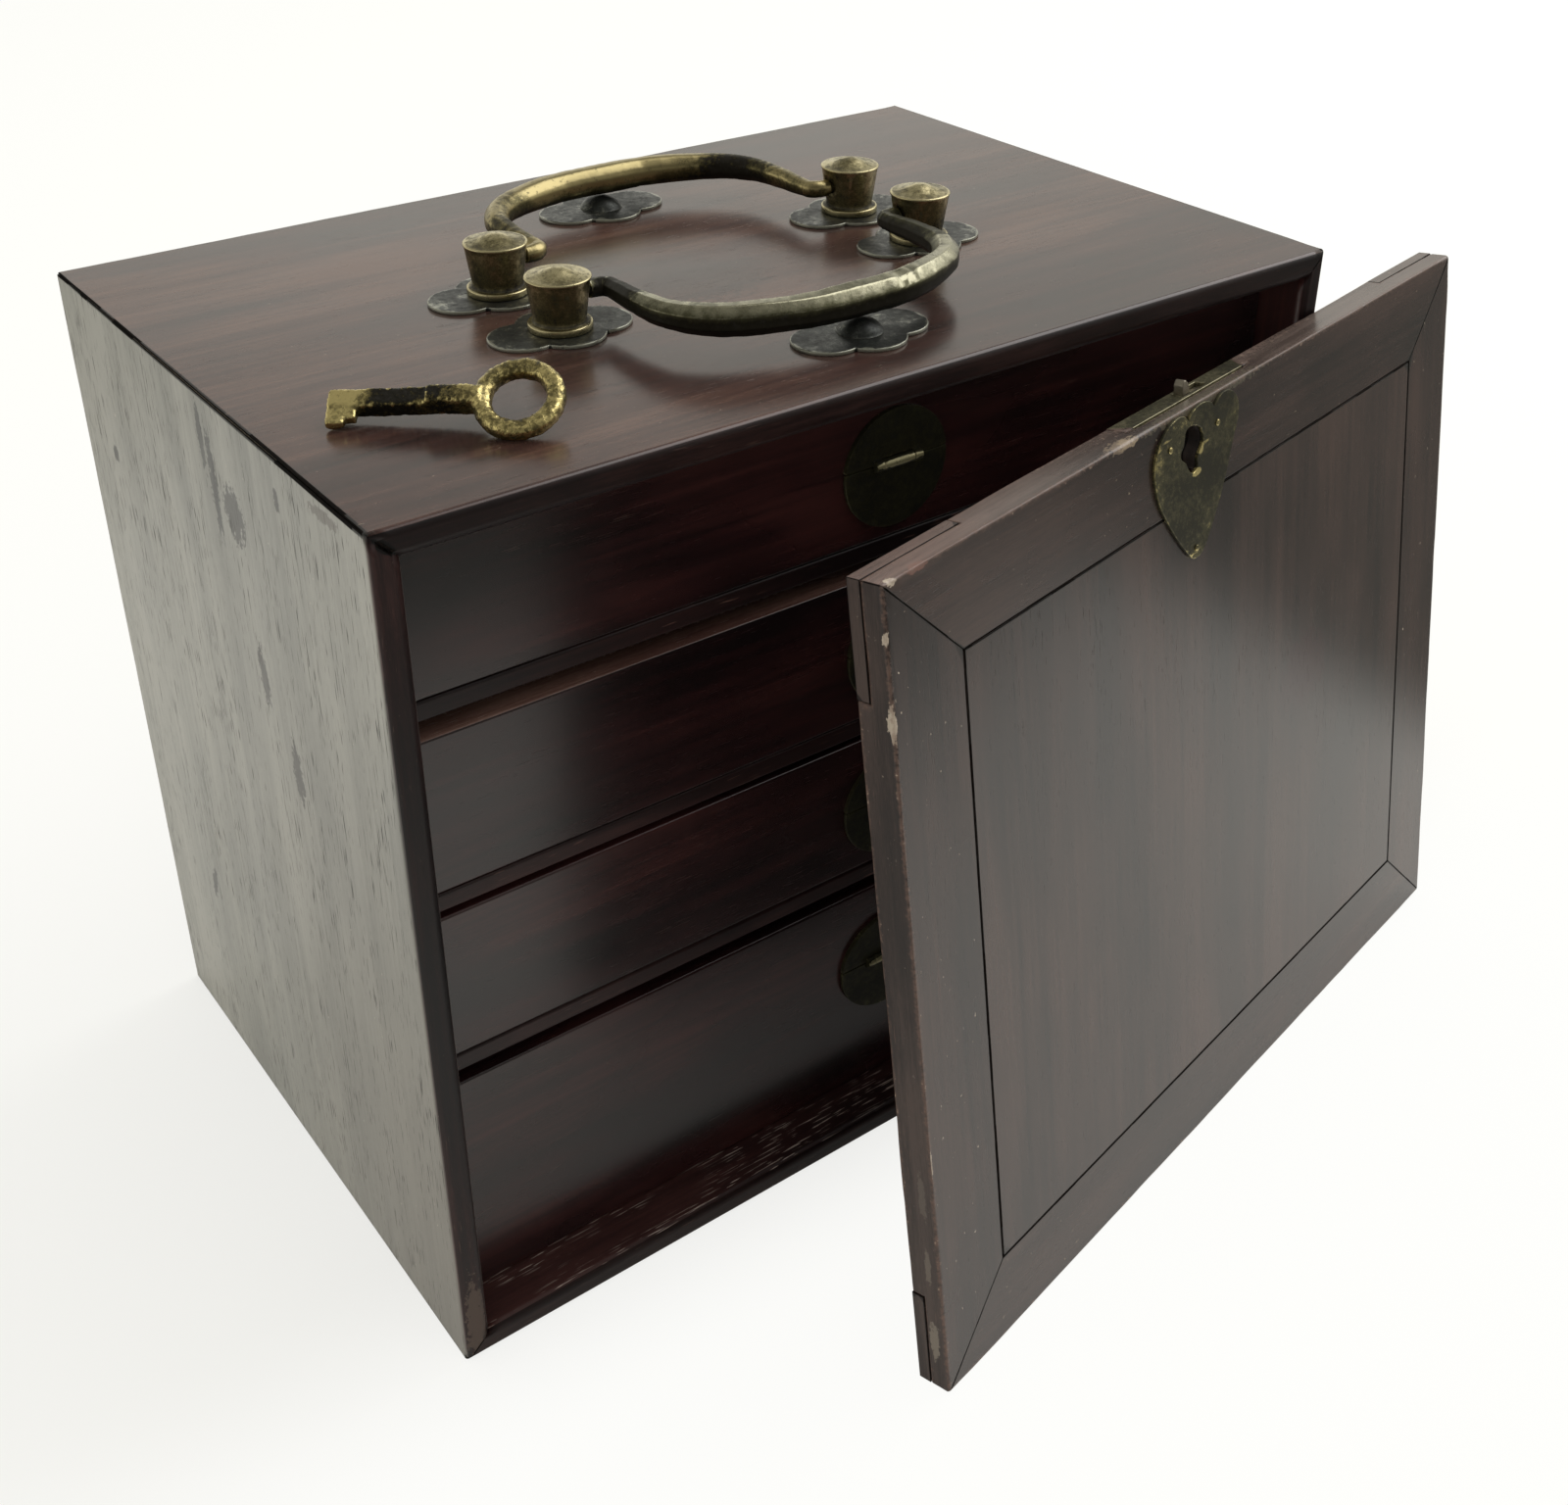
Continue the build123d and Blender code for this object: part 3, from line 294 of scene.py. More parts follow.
def bmesh_of(mesh):
    """A bmesh made from a mesh, which is removed."""
    bm = bmesh.new()
    bm.from_mesh(mesh)
    bpy.data.meshes.remove(mesh)
    return bm


def place(mesh, name, body, node, material, second=None, grooves=None):
    """Makes an object of a mesh, puts it on its body and hides the CAD node it stands for.

    Second is (material, direction) for the faces that look that way, grooves the material inside the joints.
    """
    piece = linked(name, mesh)
    mesh.materials.clear()
    mesh.materials.append(material)
    if second:
        mesh.materials.append(second[0])
        for face in mesh.polygons:
            if face.normal.dot(second[1]) > 0.6:
                face.material_index = 1
    if grooves:
        mesh.materials.append(grooves)
        depth = mesh.attributes["seam"].data
        for face in mesh.polygons:
            if min(depth[vertex].value for vertex in face.vertices) > 0.9:
                face.material_index = len(mesh.materials) - 1
    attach(piece, body)
    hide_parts(node)


def paint(node, material):
    """Gives a CAD node that keeps its own shape a material."""
    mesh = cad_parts[node].data
    mesh.materials.clear()
    mesh.materials.append(material)


def evaluated(bm, name, *modifiers):
    """The mesh that comes out of a stack of modifiers, each given as (type, settings)."""
    mesh = mesh_of(bm, name)
    maker = linked(name + "_maker", mesh)
    for kind, settings in modifiers:
        modifier = maker.modifiers.new(kind.lower(), kind)
        for key, value in settings.items():
            setattr(modifier, key, value)
    graph = bpy.context.evaluated_depsgraph_get()
    result = bpy.data.meshes.new_from_object(
        maker.evaluated_get(graph), preserve_all_data_layers=True, depsgraph=graph
    )
    bpy.data.objects.remove(maker)
    bpy.data.meshes.remove(mesh)
    result.name = name
    return result


def shaded(bm, name, weight=90, *before):
    """The mesh of a shape with smooth shading that keeps its flat faces flat, after other modifiers."""
    for face in bm.faces:
        face.smooth = True
    normals = {"mode": "FACE_AREA", "weight": weight, "keep_sharp": False}
    return evaluated(bm, name, *before, ("WEIGHTED_NORMAL", normals))


def solid_copy(node):
    """A bmesh of a CAD node with its flat faces joined up."""
    bm = bmesh.new()
    bm.from_mesh(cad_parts[node].data)
    bmesh.ops.remove_doubles(bm, verts=bm.verts, dist=2e-6)
    bmesh.ops.dissolve_limit(bm, angle_limit=math.radians(1.0), verts=bm.verts, edges=bm.edges)
    return bm


def gap_to(point, start, end):
    """How far a point is from a line between two others."""
    run = end - start
    share = max(0.0, min(1.0, (point - start).dot(run) / max(run.length_squared, 1e-12)))
    return (point - (start + run * share)).length


def slice_at(bm, point, normal, reach=1e-6):
    """Cuts all faces along a plane and keeps both sides."""
    everything = list(bm.verts) + list(bm.edges) + list(bm.faces)
    bmesh.ops.bisect_plane(bm, geom=everything, dist=reach, plane_co=point, plane_no=normal)


def board(
    node, body, material, axes, width=0.4, joint=0.2, wobble=0.45, ring=2.4, seed=0,
    chips=(), dark=None, opening=None, wedges=(), least=10, second=None, cut=None,
):
    """A copy of a board whose arrises are rounded and worn unevenly, with fine grooves along its joints.

    Width is the bevel of a worn arris and joint that of a joint's edge, in mm. Edges between slanted faces are
    joints, and those that dark says. Chips are (centre, radius, extra) where the bevel grows. Opening says how much
    wider a joint is at a point. Edges over least mm get a cut along both faces, ring mm away, which holds the wear.
    """
    bm = solid_copy(node)
    weight = bm.edges.layers.float.new("bevel_weight_edge")
    full, step = 2.4, 4.0
    worn_lines, seam_lines, cut_edges, planes = [], [], [], []
    for edge in bm.edges:
        if len(edge.link_faces) != 2 or edge.calc_face_angle_signed() < math.radians(30):
            continue
        if edge.calc_length() < 2 * MM:
            continue
        slanted = False
        for face in edge.link_faces:
            flat = max(abs(face.normal.dot(axis)) for axis in axes)
            if flat < 0.9 and face.calc_area() > 30 * MM * MM:
                slanted = True
        ends = (edge.verts[0].co.copy(), edge.verts[1].co.copy())
        if dark and dark((ends[0] + ends[1]) / 2 / MM):
            slanted = True
        if edge.calc_length() > least * MM:
            for face in edge.link_faces:
                point = ends[0] - face.normal * ring * MM
                if all((point - p).dot(n) ** 2 > 1e-10 or abs(face.normal.dot(n)) < 0.999 for p, n in planes):
                    planes.append((point, face.normal.copy()))
            cut_edges.append(edge)
        edge[weight] = (joint if slanted else width) / full
        (seam_lines if slanted else worn_lines).append(ends)
    for edge in cut_edges:
        cuts = max(1, int(edge.calc_length() / (step * MM)))
        bmesh.ops.subdivide_edges(bm, edges=[edge], cuts=cuts)
    for edge in bm.edges:
        if edge[weight] > 0 and len(edge.link_faces) == 2:
            middle = (edge.verts[0].co + edge.verts[1].co) / 2 / MM
            slow = noise.noise(middle * 0.045 + Vector((seed, 3.1, 7.7)))
            quick = noise.noise(middle * 0.31 + Vector((seed, 9.3, 1.9)))
            factor = 1 + wobble * (slow + 0.8 * quick)
            for centre, radius, extra in chips:
                distance = (middle - Vector(centre)).length
                if distance < radius:
                    factor += extra * (1 - distance / radius)
            share = edge[weight] * factor
            if opening and edge[weight] * full < joint + 0.01:
                share += opening(middle) / full
            edge[weight] = max(0.02, min(1.0, share))
    bevel = {"width": full * MM, "limit_method": "WEIGHT", "segments": 3, "profile": 0.55, "use_clamp_overlap": False}
    name = node + "_worn"
    bm = bmesh_of(evaluated(bm, name, ("BEVEL", bevel)))
    for point, normal in planes:
        slice_at(bm, point, normal)
    for base, upward in wedges:
        prism(bm, base, upward)
    wear = bm.verts.layers.float.new("wear")
    seam = bm.verts.layers.float.new("seam")
    for vertex in bm.verts:
        near = min((gap_to(vertex.co, *line) for line in worn_lines), default=1.0)
        vertex[wear] = max(0.0, 1 - max(0.0, near - width * 0.7 * MM) / (ring * MM))
        near = min((gap_to(vertex.co, *line) for line in seam_lines), default=1.0)
        if opening:
            near = max(0.0, near - opening(vertex.co / MM) * MM)
        vertex[seam] = max(0.0, 1 - near / (ring * MM))
    cuts = [difference(cut)] if cut else []
    place(shaded(bm, name, 90, *cuts), name, body, node, material, second, groove_dirt)


def difference(cutter):
    """The modifier that cuts an object away."""
    return "BOOLEAN", {"object": cutter, "operation": "DIFFERENCE", "solver": "EXACT"}


def prism(bm, base, upward):
    """A prism on a polygon of points in metres."""
    low = [bm.verts.new(point) for point in base]
    high = [bm.verts.new(point + upward) for point in base]
    faces = [bm.faces.new(low), bm.faces.new(high)]
    for place_in, vertex in enumerate(low):
        after = (place_in + 1) % len(low)
        faces.append(bm.faces.new((vertex, low[after], high[after], high[place_in])))
    bmesh.ops.recalc_face_normals(bm, faces=faces)


def netted(bm, axes, step):
    """Cuts a shape's flat faces into a net, so that what is painted along its edges stays there."""
    for axis in axes:
        reach = [vertex.co.dot(axis) for vertex in bm.verts]
        low, high = min(reach), max(reach)
        cuts = int((high - low) / step)
        for cut in range(1, cuts):
            slice_at(bm, axis * (low + (high - low) * cut / cuts), axis, 1e-7)
    return bm


def softened(node, name, body, material, width=0.15, bm=None, net=()):
    """A metal piece whose edges are rubbed round: a CAD node's copy, or a shape given for it."""
    bm = bm or solid_copy(node)
    for face in bm.faces:
        face.smooth = True
    bevel = {"width": width * MM, "limit_method": "ANGLE", "angle_limit": math.radians(35), "segments": 2}
    bm = bmesh_of(evaluated(bm, name, ("BEVEL", bevel)))
    place(shaded(netted(bm, net, 1.1 * MM), name), name, body, node, material)


def smooth_line(points, steps, closed=False):
    """More points on a smooth line through the given ones."""
    points = [Vector(point) for point in points]
    count = len(points)
    result = []
    for start in range(count if closed else count - 1):
        if closed:
            a, b, c, d = (points[(start + k) % count] for k in (-1, 0, 1, 2))
        else:
            a, b, c, d = (points[max(0, min(count - 1, start + k))] for k in (-1, 0, 1, 2))
        for step in range(steps):
            u = step / steps
            curve = (b * 2) + (c - a) * u + (a * 2 - b * 5 + c * 4 - d) * u * u + (b * 3 - a - c * 3 + d) * u**3
            result.append(curve / 2)
    if not closed:
        result.append(points[-1])
    return result


def sheet(outlines, thick, edge, resolution=2):
    """A flat plate with holes from closed outlines in mm, lying on z = 0, with its edges rubbed."""
    data = bpy.data.curves.new("sheet_maker", "CURVE")
    data.dimensions = "2D"
    data.fill_mode = "BOTH"
    data.extrude = thick / 2 - edge
    data.bevel_depth = edge
    data.bevel_resolution = resolution
    data.offset = -edge
    for outline in outlines:
        spline = data.splines.new("POLY")
        spline.points.add(len(outline) - 1)
        for point, (x, y) in zip(spline.points, outline):
            point.co = (x, y, 0, 1)
        spline.use_cyclic_u = True
    maker = linked("sheet_maker", data)
    graph = bpy.context.evaluated_depsgraph_get()
    mesh = bpy.data.meshes.new_from_object(maker.evaluated_get(graph), depsgraph=graph)
    bpy.data.objects.remove(maker)
    bpy.data.curves.remove(data)
    bm = bmesh_of(mesh)
    bmesh.ops.remove_doubles(bm, verts=bm.verts, dist=1e-4)
    bmesh.ops.translate(bm, verts=bm.verts, vec=(0, 0, thick / 2))
    return netted(bm, (X, Y), 1.3)


def bail(node, side, pivot_y, material, sharp, seed, nicks=()):
    """A cast bail: an eight-sided bar that swells to its middle and turns on a pin in each post.

    Side is 1 if it lies towards +Y and -1 towards -Y. Sharp is how far its corners are rounded, 0 to 0.5. Nicks are
    (centre, radius, depth). Its underside stays over the studs' tops.
    """
    over_stud, reach_out = 203.82, 36.9
    half = [(44.95, 0.0), (41.4, 0.0), (39.6, 0.0), (38.5, 0.1), (37.4, 0.55), (36.65, 1.35), (36.42, 2.6)]
    half += [(36.45, 6.5), (36.53, 12.3), (34.99, 22.4), (28.2, 30.4), (14.1, 36.0), (0.0, reach_out)]
    line = smooth_line(half + [(-a, r) for a, r in reversed(half[:-1])], 14)
    total = len(line)
    bm = bmesh.new()
    rings = []
    for index, centre in enumerate(line):
        tangent = line[min(index + 1, total - 1)] - line[max(index - 1, 0)]
        tangent.normalize()
        normal = Vector((-tangent.y, tangent.x))
        reach = centre.y / reach_out
        bar = 1.94 + 1.72 * reach
        pin = max(0.0, min(1.0, (abs(centre.x) - 40.6) / 0.5)) if reach < 0.02 else 0.0
        bar += (1.5 - bar) * pin
        knob = math.exp(-(((abs(centre.x) - 38.0) / 1.6) ** 2)) * (0.5 if reach < 0.05 else 0.0)
        bar += 0.3 * knob
        soft = sharp + (0.42 - sharp) * max(pin, knob)
        spot = Vector((centre.x, centre.y, seed * 5.0))
        bar *= 1 + (0.05 * noise.noise(spot * 0.11) + 0.02 * noise.noise(spot * 0.4)) * (1 - pin)
        twist = 0.16 * noise.noise(spot * 0.05 + Vector((7, 7, 7)))
        corners = []
        for corner in range(8):
            turn = math.pi / 8 + corner * math.pi / 4 + twist
            place_in = Vector((centre.x * 0.07, centre.y * 0.07, corner * 3.3 + seed))
            swell = 1 + 0.05 * noise.noise(place_in) * (1 - pin)
            corners.append(Vector((math.cos(turn), math.sin(turn))) * bar * swell)
        ring = []
        for corner in range(8):
            here, before, after = corners[corner], corners[corner - 1], corners[(corner + 1) % 8]
            start = here.lerp(before, soft)
            end = here.lerp(after, soft)
            for point in (start, start * 0.25 + here * 0.5 + end * 0.25, end):
                along = centre.x + normal.x * point.x
                reached = centre.y + normal.y * point.x
                spot = Vector((along, pivot_y + side * reached, PIVOT_Z + point.y))
                rough = noise.noise(spot * 0.55) * 0.07 + noise.noise(spot * 1.7) * 0.035
                core = Vector((centre.x, pivot_y + side * centre.y, PIVOT_Z))
                spot += (spot - core).normalized() * rough * (1 - pin)
                for nick, radius, depth in nicks:
                    away = (spot - Vector(nick)).length / radius
                    if away < 1:
                        uneven = 0.6 + 0.8 * noise.noise(spot * 1.9 + Vector((3, 5, 1)))
                        spot.z -= depth * (1 - away * away) * uneven
                spot.z = max(over_stud, spot.z)
                ring.append(bm.verts.new(spot * MM))
        rings.append(ring)
    for first, second in zip(rings, rings[1:]):
        for step in range(24):
            after = (step + 1) % 24
            bm.faces.new((first[step], first[after], second[after], second[step]))
    bm.faces.new(rings[0])
    bm.faces.new(rings[-1])
    bmesh.ops.recalc_face_normals(bm, faces=bm.faces)
    place(shaded(bm, node + "_cast", 70), node + "_cast", node, node, material)


def lathe(bm, profile, centre, steps, wobble, seed):
    """Turns a closed profile of (radius, height over the plates) round a vertical line, a little out of true."""
    rings = []
    for radius, height in [(radius, PLATE_TOP + height) for radius, height in profile]:
        ring = []
        if radius < 1e-6:
            ring = [bm.verts.new(Vector((centre[0], centre[1], height)) * MM)] * steps
        else:
            for step in range(steps):
                turn = 2 * math.pi * step / steps
                spot = Vector((math.cos(turn) * 1.7, math.sin(turn) * 1.7, height * 0.4 + seed))
                out = radius + wobble * noise.noise(spot)
                point = Vector((centre[0] + out * math.cos(turn), centre[1] + out * math.sin(turn), height))
                ring.append(bm.verts.new(point * MM))
        rings.append(ring)
    for lower, upper in zip(rings, rings[1:]):
        for step in range(steps):
            after = (step + 1) % steps
            corners = []
            for vertex in (lower[step], lower[after], upper[after], upper[step]):
                if vertex not in corners:
                    corners.append(vertex)
            if len(corners) > 2:
                bm.faces.new(corners)


# Camera, fitted to the photograph of 1600 x 1536 pixels; its place is in mm
camera_data = bpy.data.cameras.new("photo_camera")
camera_data.sensor_fit = "HORIZONTAL"
camera_data.sensor_width = 36
camera_data.lens = 42.68
camera_data.shift_x = -0.00957
camera_data.shift_y = -0.09563
camera_data.clip_start = 0.01
camera_data.clip_end = 20
camera = linked("photo_camera", camera_data)
looking = Vector((0.5234, 0.69323, -0.49547)).normalized()
rightwards = Vector((0.79993, -0.60007, 0.00544)).normalized()
upwards = rightwards.cross(looking)
turning = Matrix((rightwards, upwards, -looking)).transposed().to_4x4()
camera.matrix_world = Matrix.Translation(Vector((-223.20, -331.64, 339.83)) * MM) @ turning
bpy.context.scene.camera = camera
bpy.context.scene.view_settings.view_transform = "Standard"

# World: white for the camera and for reflections towards the sides, a plain soft light for everything else
s = Shader("studio", world=True)
bpy.context.scene.world = s.owner
path = s.add("LightPath", {}).outputs
direction = s.add("TexCoord", {}).outputs["Generated"]
rise = s.add("SeparateXYZ", {0: direction}).outputs[2]
height = s.times(s.span(rise, 0.28, 0.34, 0.88, 1.32), s.span(rise, 0.38, 0.46, 1.0, 0.34))
forward = s.add("VectorMath", {0: direction, 1: (-0.35, -0.93, 0.0)}, operation="DOT_PRODUCT").outputs["Value"]
front = s.span(forward, 0.1, 0.8, 1.0, 0.3)
backward = s.add("VectorMath", {0: direction, 1: (0.5, 0.866, 0.0)}, operation="DOT_PRODUCT").outputs["Value"]
wall = s.span(backward, 0.905, 0.955, 0.74, 1.03)
room = s.times(s.times(height, front), wall)
mirrored = s.math("MAXIMUM", path["Is Glossy Ray"], path["Is Transmission Ray"])
unseen = s.add("Mix", {0: mirrored, 2: 0.9, 3: room}, data_type="FLOAT").outputs[0]
strength = s.add("Mix", {0: path["Is Camera Ray"], 2: unseen, 3: 1.0}, data_type="FLOAT").outputs[0]
tint = s.mix(path["Is Camera Ray"], (1.0, 0.985, 0.9, 1.0), (1.0, 1.0, 1.0, 1.0))
light = s.add("Background", {"Color": tint, "Strength": strength})
s.add("OutputWorld", {"Surface": light.outputs[0]})

# White paper that ends beyond the picture, at the right and in front, where reflections see a darker table
s = Shader("floor_white")
path = s.add("LightPath", {}).outputs
spot = s.add("SeparateXYZ", {0: s.millimetres()}).outputs
aside = s.math("SUBTRACT", spot[0], s.times(s.math("SUBTRACT", -150.0, spot[1]), 0.9))
right_end = s.span(aside, 285.0, 355.0)
front_end = s.span(spot[1], -300.0, -345.0)
by_camera = path["Is Camera Ray"]
table = s.times(s.math("MAXIMUM", right_end, front_end), s.math("SUBTRACT", 1.0, by_camera))
mirrored = s.math("MAXIMUM", path["Is Glossy Ray"], path["Is Transmission Ray"])
cut_out = s.span(spot[1], -40.0, -110.0, 0.66, 0.95)
seen = s.math("MAXIMUM", s.times(by_camera, cut_out), s.times(mirrored, 0.12))
paper = s.add("BsdfDiffuse", {"Color": s.mix(table, (0.9, 0.9, 0.89, 1.0), (0.16, 0.16, 0.15, 1.0))})
white = s.add("Emission", {"Color": s.mix(table, (1.0, 1.0, 0.98, 1.0), (0.14, 0.14, 0.13, 1.0)), "Strength": 1.0})
both = s.add("MixShader", {0: seen, 1: paper.outputs[0], 2: white.outputs[0]})
s.add("OutputMaterial", {"Surface": both.outputs[0]})
bm = bmesh.new()
bmesh.ops.create_grid(bm, x_segments=8, y_segments=8, size=3.0)
floor = linked("floor", mesh_of(bm, "floor"))
floor.location = (0, 0, -0.0002)
floor.data.materials.append(s.owner)

window = bpy.data.lights.new("window", "AREA")
window.shape = "DISK"
window.size = 2.0
window.energy = 21
lamp = linked("window", window)
lamp.location = (1.5, -0.1, 1.7)
lamp.rotation_euler = (Vector((0, 0, 0.1)) - lamp.location).to_track_quat("-Z", "Y").to_euler()

# Materials
s = Shader("dirt_in_joints")
crumbs = s.noise(s.millimetres(), 1.6, 4.0, 0.6)
groove_dirt = s.surface(
    Base_Color=s.ramp(crumbs, (0.4, srgb(5, 4, 4)), (0.7, srgb(30, 24, 20))),
    Roughness=s.span(crumbs, 0.3, 0.7, 0.75, 0.95), Normal=s.bump(crumbs, 0.5, 0.0001), Specular_IOR_Level=0.08,
)

# Grain directions: along the fibres, then across them
ACROSS = (X, Y, Z)
UPRIGHT = (Z, Y, X)
DOOR_TALL = (DOOR_UP, DOOR_X, DOOR_OUT)
DOOR_WIDE = (DOOR_X, DOOR_UP, DOOR_OUT)
DEPTHWISE = (Y, X, Z)

# The left side: dusty and faded, painted paler as a sheen of reflected light, and darker as painted shade in front and
# below
RAW = (srgb(78, 54, 49), srgb(126, 100, 90))
OUTSIDE = [(-X, 118.0, 118.5), (Y, -76.9, -76.3)]
# The outer face: pale from dust and fading, and paler still as a painted sheen of reflected light
faded_and_sheen = (OUTSIDE, srgb(114, 113, 107), srgb(152, 150, 143), 0.96)
# Painted shade: the outer face darker towards the front and the bottom
painted_shade_low_front = (OUTSIDE + [(-Y, -40.0, 85.0), (-Z, -190.0, -20.0)], srgb(84, 77, 71), srgb(102, 95, 88), 0.8)


def drip(y, z, radii, strength, colour, axes=UPRIGHT):
    """A stain on the left side's face."""
    return (-CASE_HALF_WIDTH, y, z), radii, axes, strength, colour


def arris_glint(colour):
    """A painted highlight: a pale line along the left upper arris, where its rounded edge catches the light."""
    return (-118.2, 0.0, 199.2), (0.3, 1.4, 95), ((X + Z).normalized(), (X - Z).normalized(), Y), 0.9, colour


side_wood = wood(
    "rosewood_side", UPRIGHT, 2, srgb(26, 12, 13), srgb(44, 22, 22), srgb(64, 36, 33), WORN, rough=0.4, pores=1.5,
    zones=[faded_and_sheen, painted_shade_low_front], scuffs=0.0, dust=0.14, grain=(0.12, 2.7, 2.7), dense=0.625,
    stains_and_painted_light=[
        drip(-15.0, 178.0, (9, 7, 5), 0.9, srgb(26, 21, 18)),
        drip(-6.0, 181.0, (18, 2.6, 5), 0.95, srgb(18, 14, 12)),
        drip(-2.5, 190.0, (11, 2.2, 5), 0.9, srgb(22, 18, 16)),
        drip(57.3, 163.8, (3.2, 2.2, 4), 0.95, srgb(30, 24, 22)),
        drip(-38.8, 190.8, (3.6, 1.6, 4), 0.95, srgb(30, 24, 22)),
        drip(-17.4, 143.4, (11, 3.2, 4), 0.9, srgb(36, 29, 25)),
        drip(-28.5, 125.9, (11, 3.4, 4), 0.9, srgb(36, 29, 25)),
        drip(43.4, 53.3, (7, 2.2, 4), 0.95, srgb(26, 20, 20), (Z, (Y + Z * 0.3).normalized(), X)),
        drip(-60.0, 196.5, (2, 9, 4), 0.7, srgb(70, 60, 52)),
        arris_glint(srgb(140, 128, 112)),
        ((-117, -77.5, 193.0), (1.6, 1.6, 1.6), ACROSS, 0.9, srgb(205, 198, 184)),
    ],
)

# The other case boards
# Darker copies of the case wood for the faces turned to the front: painted shade
edge_wood = wood(
    "rosewood_edges", UPRIGHT, 3, srgb(14, 7, 8), srgb(32, 16, 16), srgb(54, 31, 29), WORN, rough=0.45, specular=0.22,
    stains_and_painted_light=[((-116, -77.5, 10.0), (3.5, 3, 20), ACROSS, 0.7, srgb(84, 70, 62))],
)
# Painted shade: a darker copy for the top and bottom boards' front faces
front_wood = wood(
    "rosewood_front_edges", ACROSS, 13, srgb(12, 7, 8), srgb(26, 14, 14), srgb(46, 28, 26), WORN, rough=0.42,
    specular=0.2,
)
right_wood = wood(
    "rosewood_right", UPRIGHT, 7, srgb(26, 12, 13), srgb(48, 24, 24), srgb(70, 40, 36), WORN, rough=0.3, scuffs=0.2
)
top_wood = wood(
    "rosewood_top", ACROSS, 1, srgb(34, 20, 18), srgb(58, 36, 32), srgb(86, 60, 51), WORN, rough=0.22, pores=0.3,
    scuffs=0.18, dust=0.05,
    stains_and_painted_light=[((-8, -10, CASE_HEIGHT), (26, 17, 8), ACROSS, 0.6, srgb(34, 24, 22)), arris_glint(srgb(120, 106, 92))],
)
bottom_wood = wood(
    "rosewood_bottom", ACROSS, 6, srgb(24, 12, 13), srgb(44, 23, 23), srgb(66, 38, 36), srgb(176, 160, 152),
    rough=0.4, scuffs=0.9, rubbed=0.6, specular=0.35,
)
divider_wood = wood(
    "rosewood_divider", ACROSS, 8, srgb(18, 9, 10), srgb(36, 19, 19), srgb(58, 34, 32), srgb(132, 98, 88),
    rough=0.42, scuffs=0.5, specular=0.25,
)

# The door, whose upper edge is paler, most of all towards the left
low, middle = DOOR_ORIGIN.dot(DOOR_UP), DOOR_ORIGIN.dot(DOOR_X)
UPPER_EDGE = (DOOR_UP, low + 186.9, low + 187.3)
LEFTWARDS = (DOOR_X, middle - 60.0, middle - 110.0)
door_top = ([UPPER_EDGE], srgb(58, 47, 44), srgb(106, 92, 86), 0.9)
key_line = ([UPPER_EDGE, LEFTWARDS], srgb(66, 44, 40), srgb(120, 92, 84), 0.8)
DOOR_TONES = (srgb(27, 18, 17), srgb(47, 33, 30), srgb(66, 48, 43), WORN)


def door_spot(x, y, radii, strength, colour, out=0.0):
    """A stain, or painted shade, on the door, in its own coordinates."""
    return tuple(door_point(x, y, out)), radii, DOOR_WIDE, strength, colour


def left_arris_spot(y, radii, strength, colour, out=0.0):
    """A stain on the door's left arris."""
    return door_spot(-DOOR_HALF, y, radii, strength, colour, out)


door_tall_wood = wood(
    "rosewood_door_tall", DOOR_TALL, 4, *DOOR_TONES, rough=0.26, pores=0.4, scuffs=0.15, dust=0.04,
    zones=[door_top, key_line],
    stains_and_painted_light=[
        left_arris_spot(176.9, (1.3, 2.8, 1.5), 0.9, PALE),
        left_arris_spot(160.5, (1.5, 6.0, 1.8), 0.85, PALE),
        left_arris_spot(62, (1.0, 5, 1.5), 0.7, PALE),
    ],
)
door_edge_wood = wood(
    "rosewood_door_edge", DOOR_TALL, 14, srgb(24, 17, 16), srgb(44, 33, 30), srgb(70, 56, 51), WORN, rough=0.42,
    pores=0.4, scuffs=0.6, specular=0.3,
    stains_and_painted_light=[
        left_arris_spot(176.9, (1.3, 2.6, 1.5), 0.9, PALE),
        left_arris_spot(160.5, (1.5, 5.0, 1.8), 0.85, PALE),
        left_arris_spot(52, (1.0, 9, 1.3), 0.6, srgb(96, 86, 78), -3),
        left_arris_spot(33, (1.0, 8, 1.2), 0.6, srgb(110, 100, 90), -3),
        left_arris_spot(13, (1.0, 8, 1.8), 0.7, srgb(128, 118, 106), -3),
    ],
)
panel_wood = wood(
    "rosewood_panel", DOOR_TALL, 9, *DOOR_TONES, rough=0.24, pores=0.4, scuffs=0.08, dust=0.06,
    stains_and_painted_light=[
        door_spot(39, 104, (17, 14, 5), 0.6, srgb(46, 16, 18)),
        door_spot(-36, 70, (1.0, 1.0, 2), 0.9, srgb(20, 12, 12)),
    ],
)
door_wide_wood = wood(
    "rosewood_door_wide", DOOR_WIDE, 5, *DOOR_TONES, rough=0.26, pores=0.4, scuffs=0.15, dust=0.04,
    zones=[door_top, key_line],
    stains_and_painted_light=[
        door_spot(-103, 187.2, (4.5, 1.4, 2), 0.8, srgb(120, 84, 74)),
        door_spot(-110, 187.2, (2.2, 1.2, 2), 0.9, PALE),
        door_spot(-37, 187.2, (8, 1.8, 4), 0.7, srgb(128, 112, 96)),
        door_spot(-35, 187.0, (5, 1.2, 3), 0.6, srgb(160, 142, 118)),
        # Painted shade: near-black rail inside the keyhole's recess, under the escutcheon
        door_spot(-12.3, 178.5, (9, 11, 6), 1.0, srgb(8, 6, 6)),
        door_spot(-6, 187.2, (34, 2.5, 4.5), 0.75, srgb(84, 78, 66)),
    ],
)
inner_wood = plain_wood("drawer_wood", DEPTHWISE, 1, srgb(112, 80, 56), srgb(150, 112, 80))
back_wood = plain_wood("back_wood", ACROSS, 2, srgb(60, 36, 30), srgb(88, 56, 46))
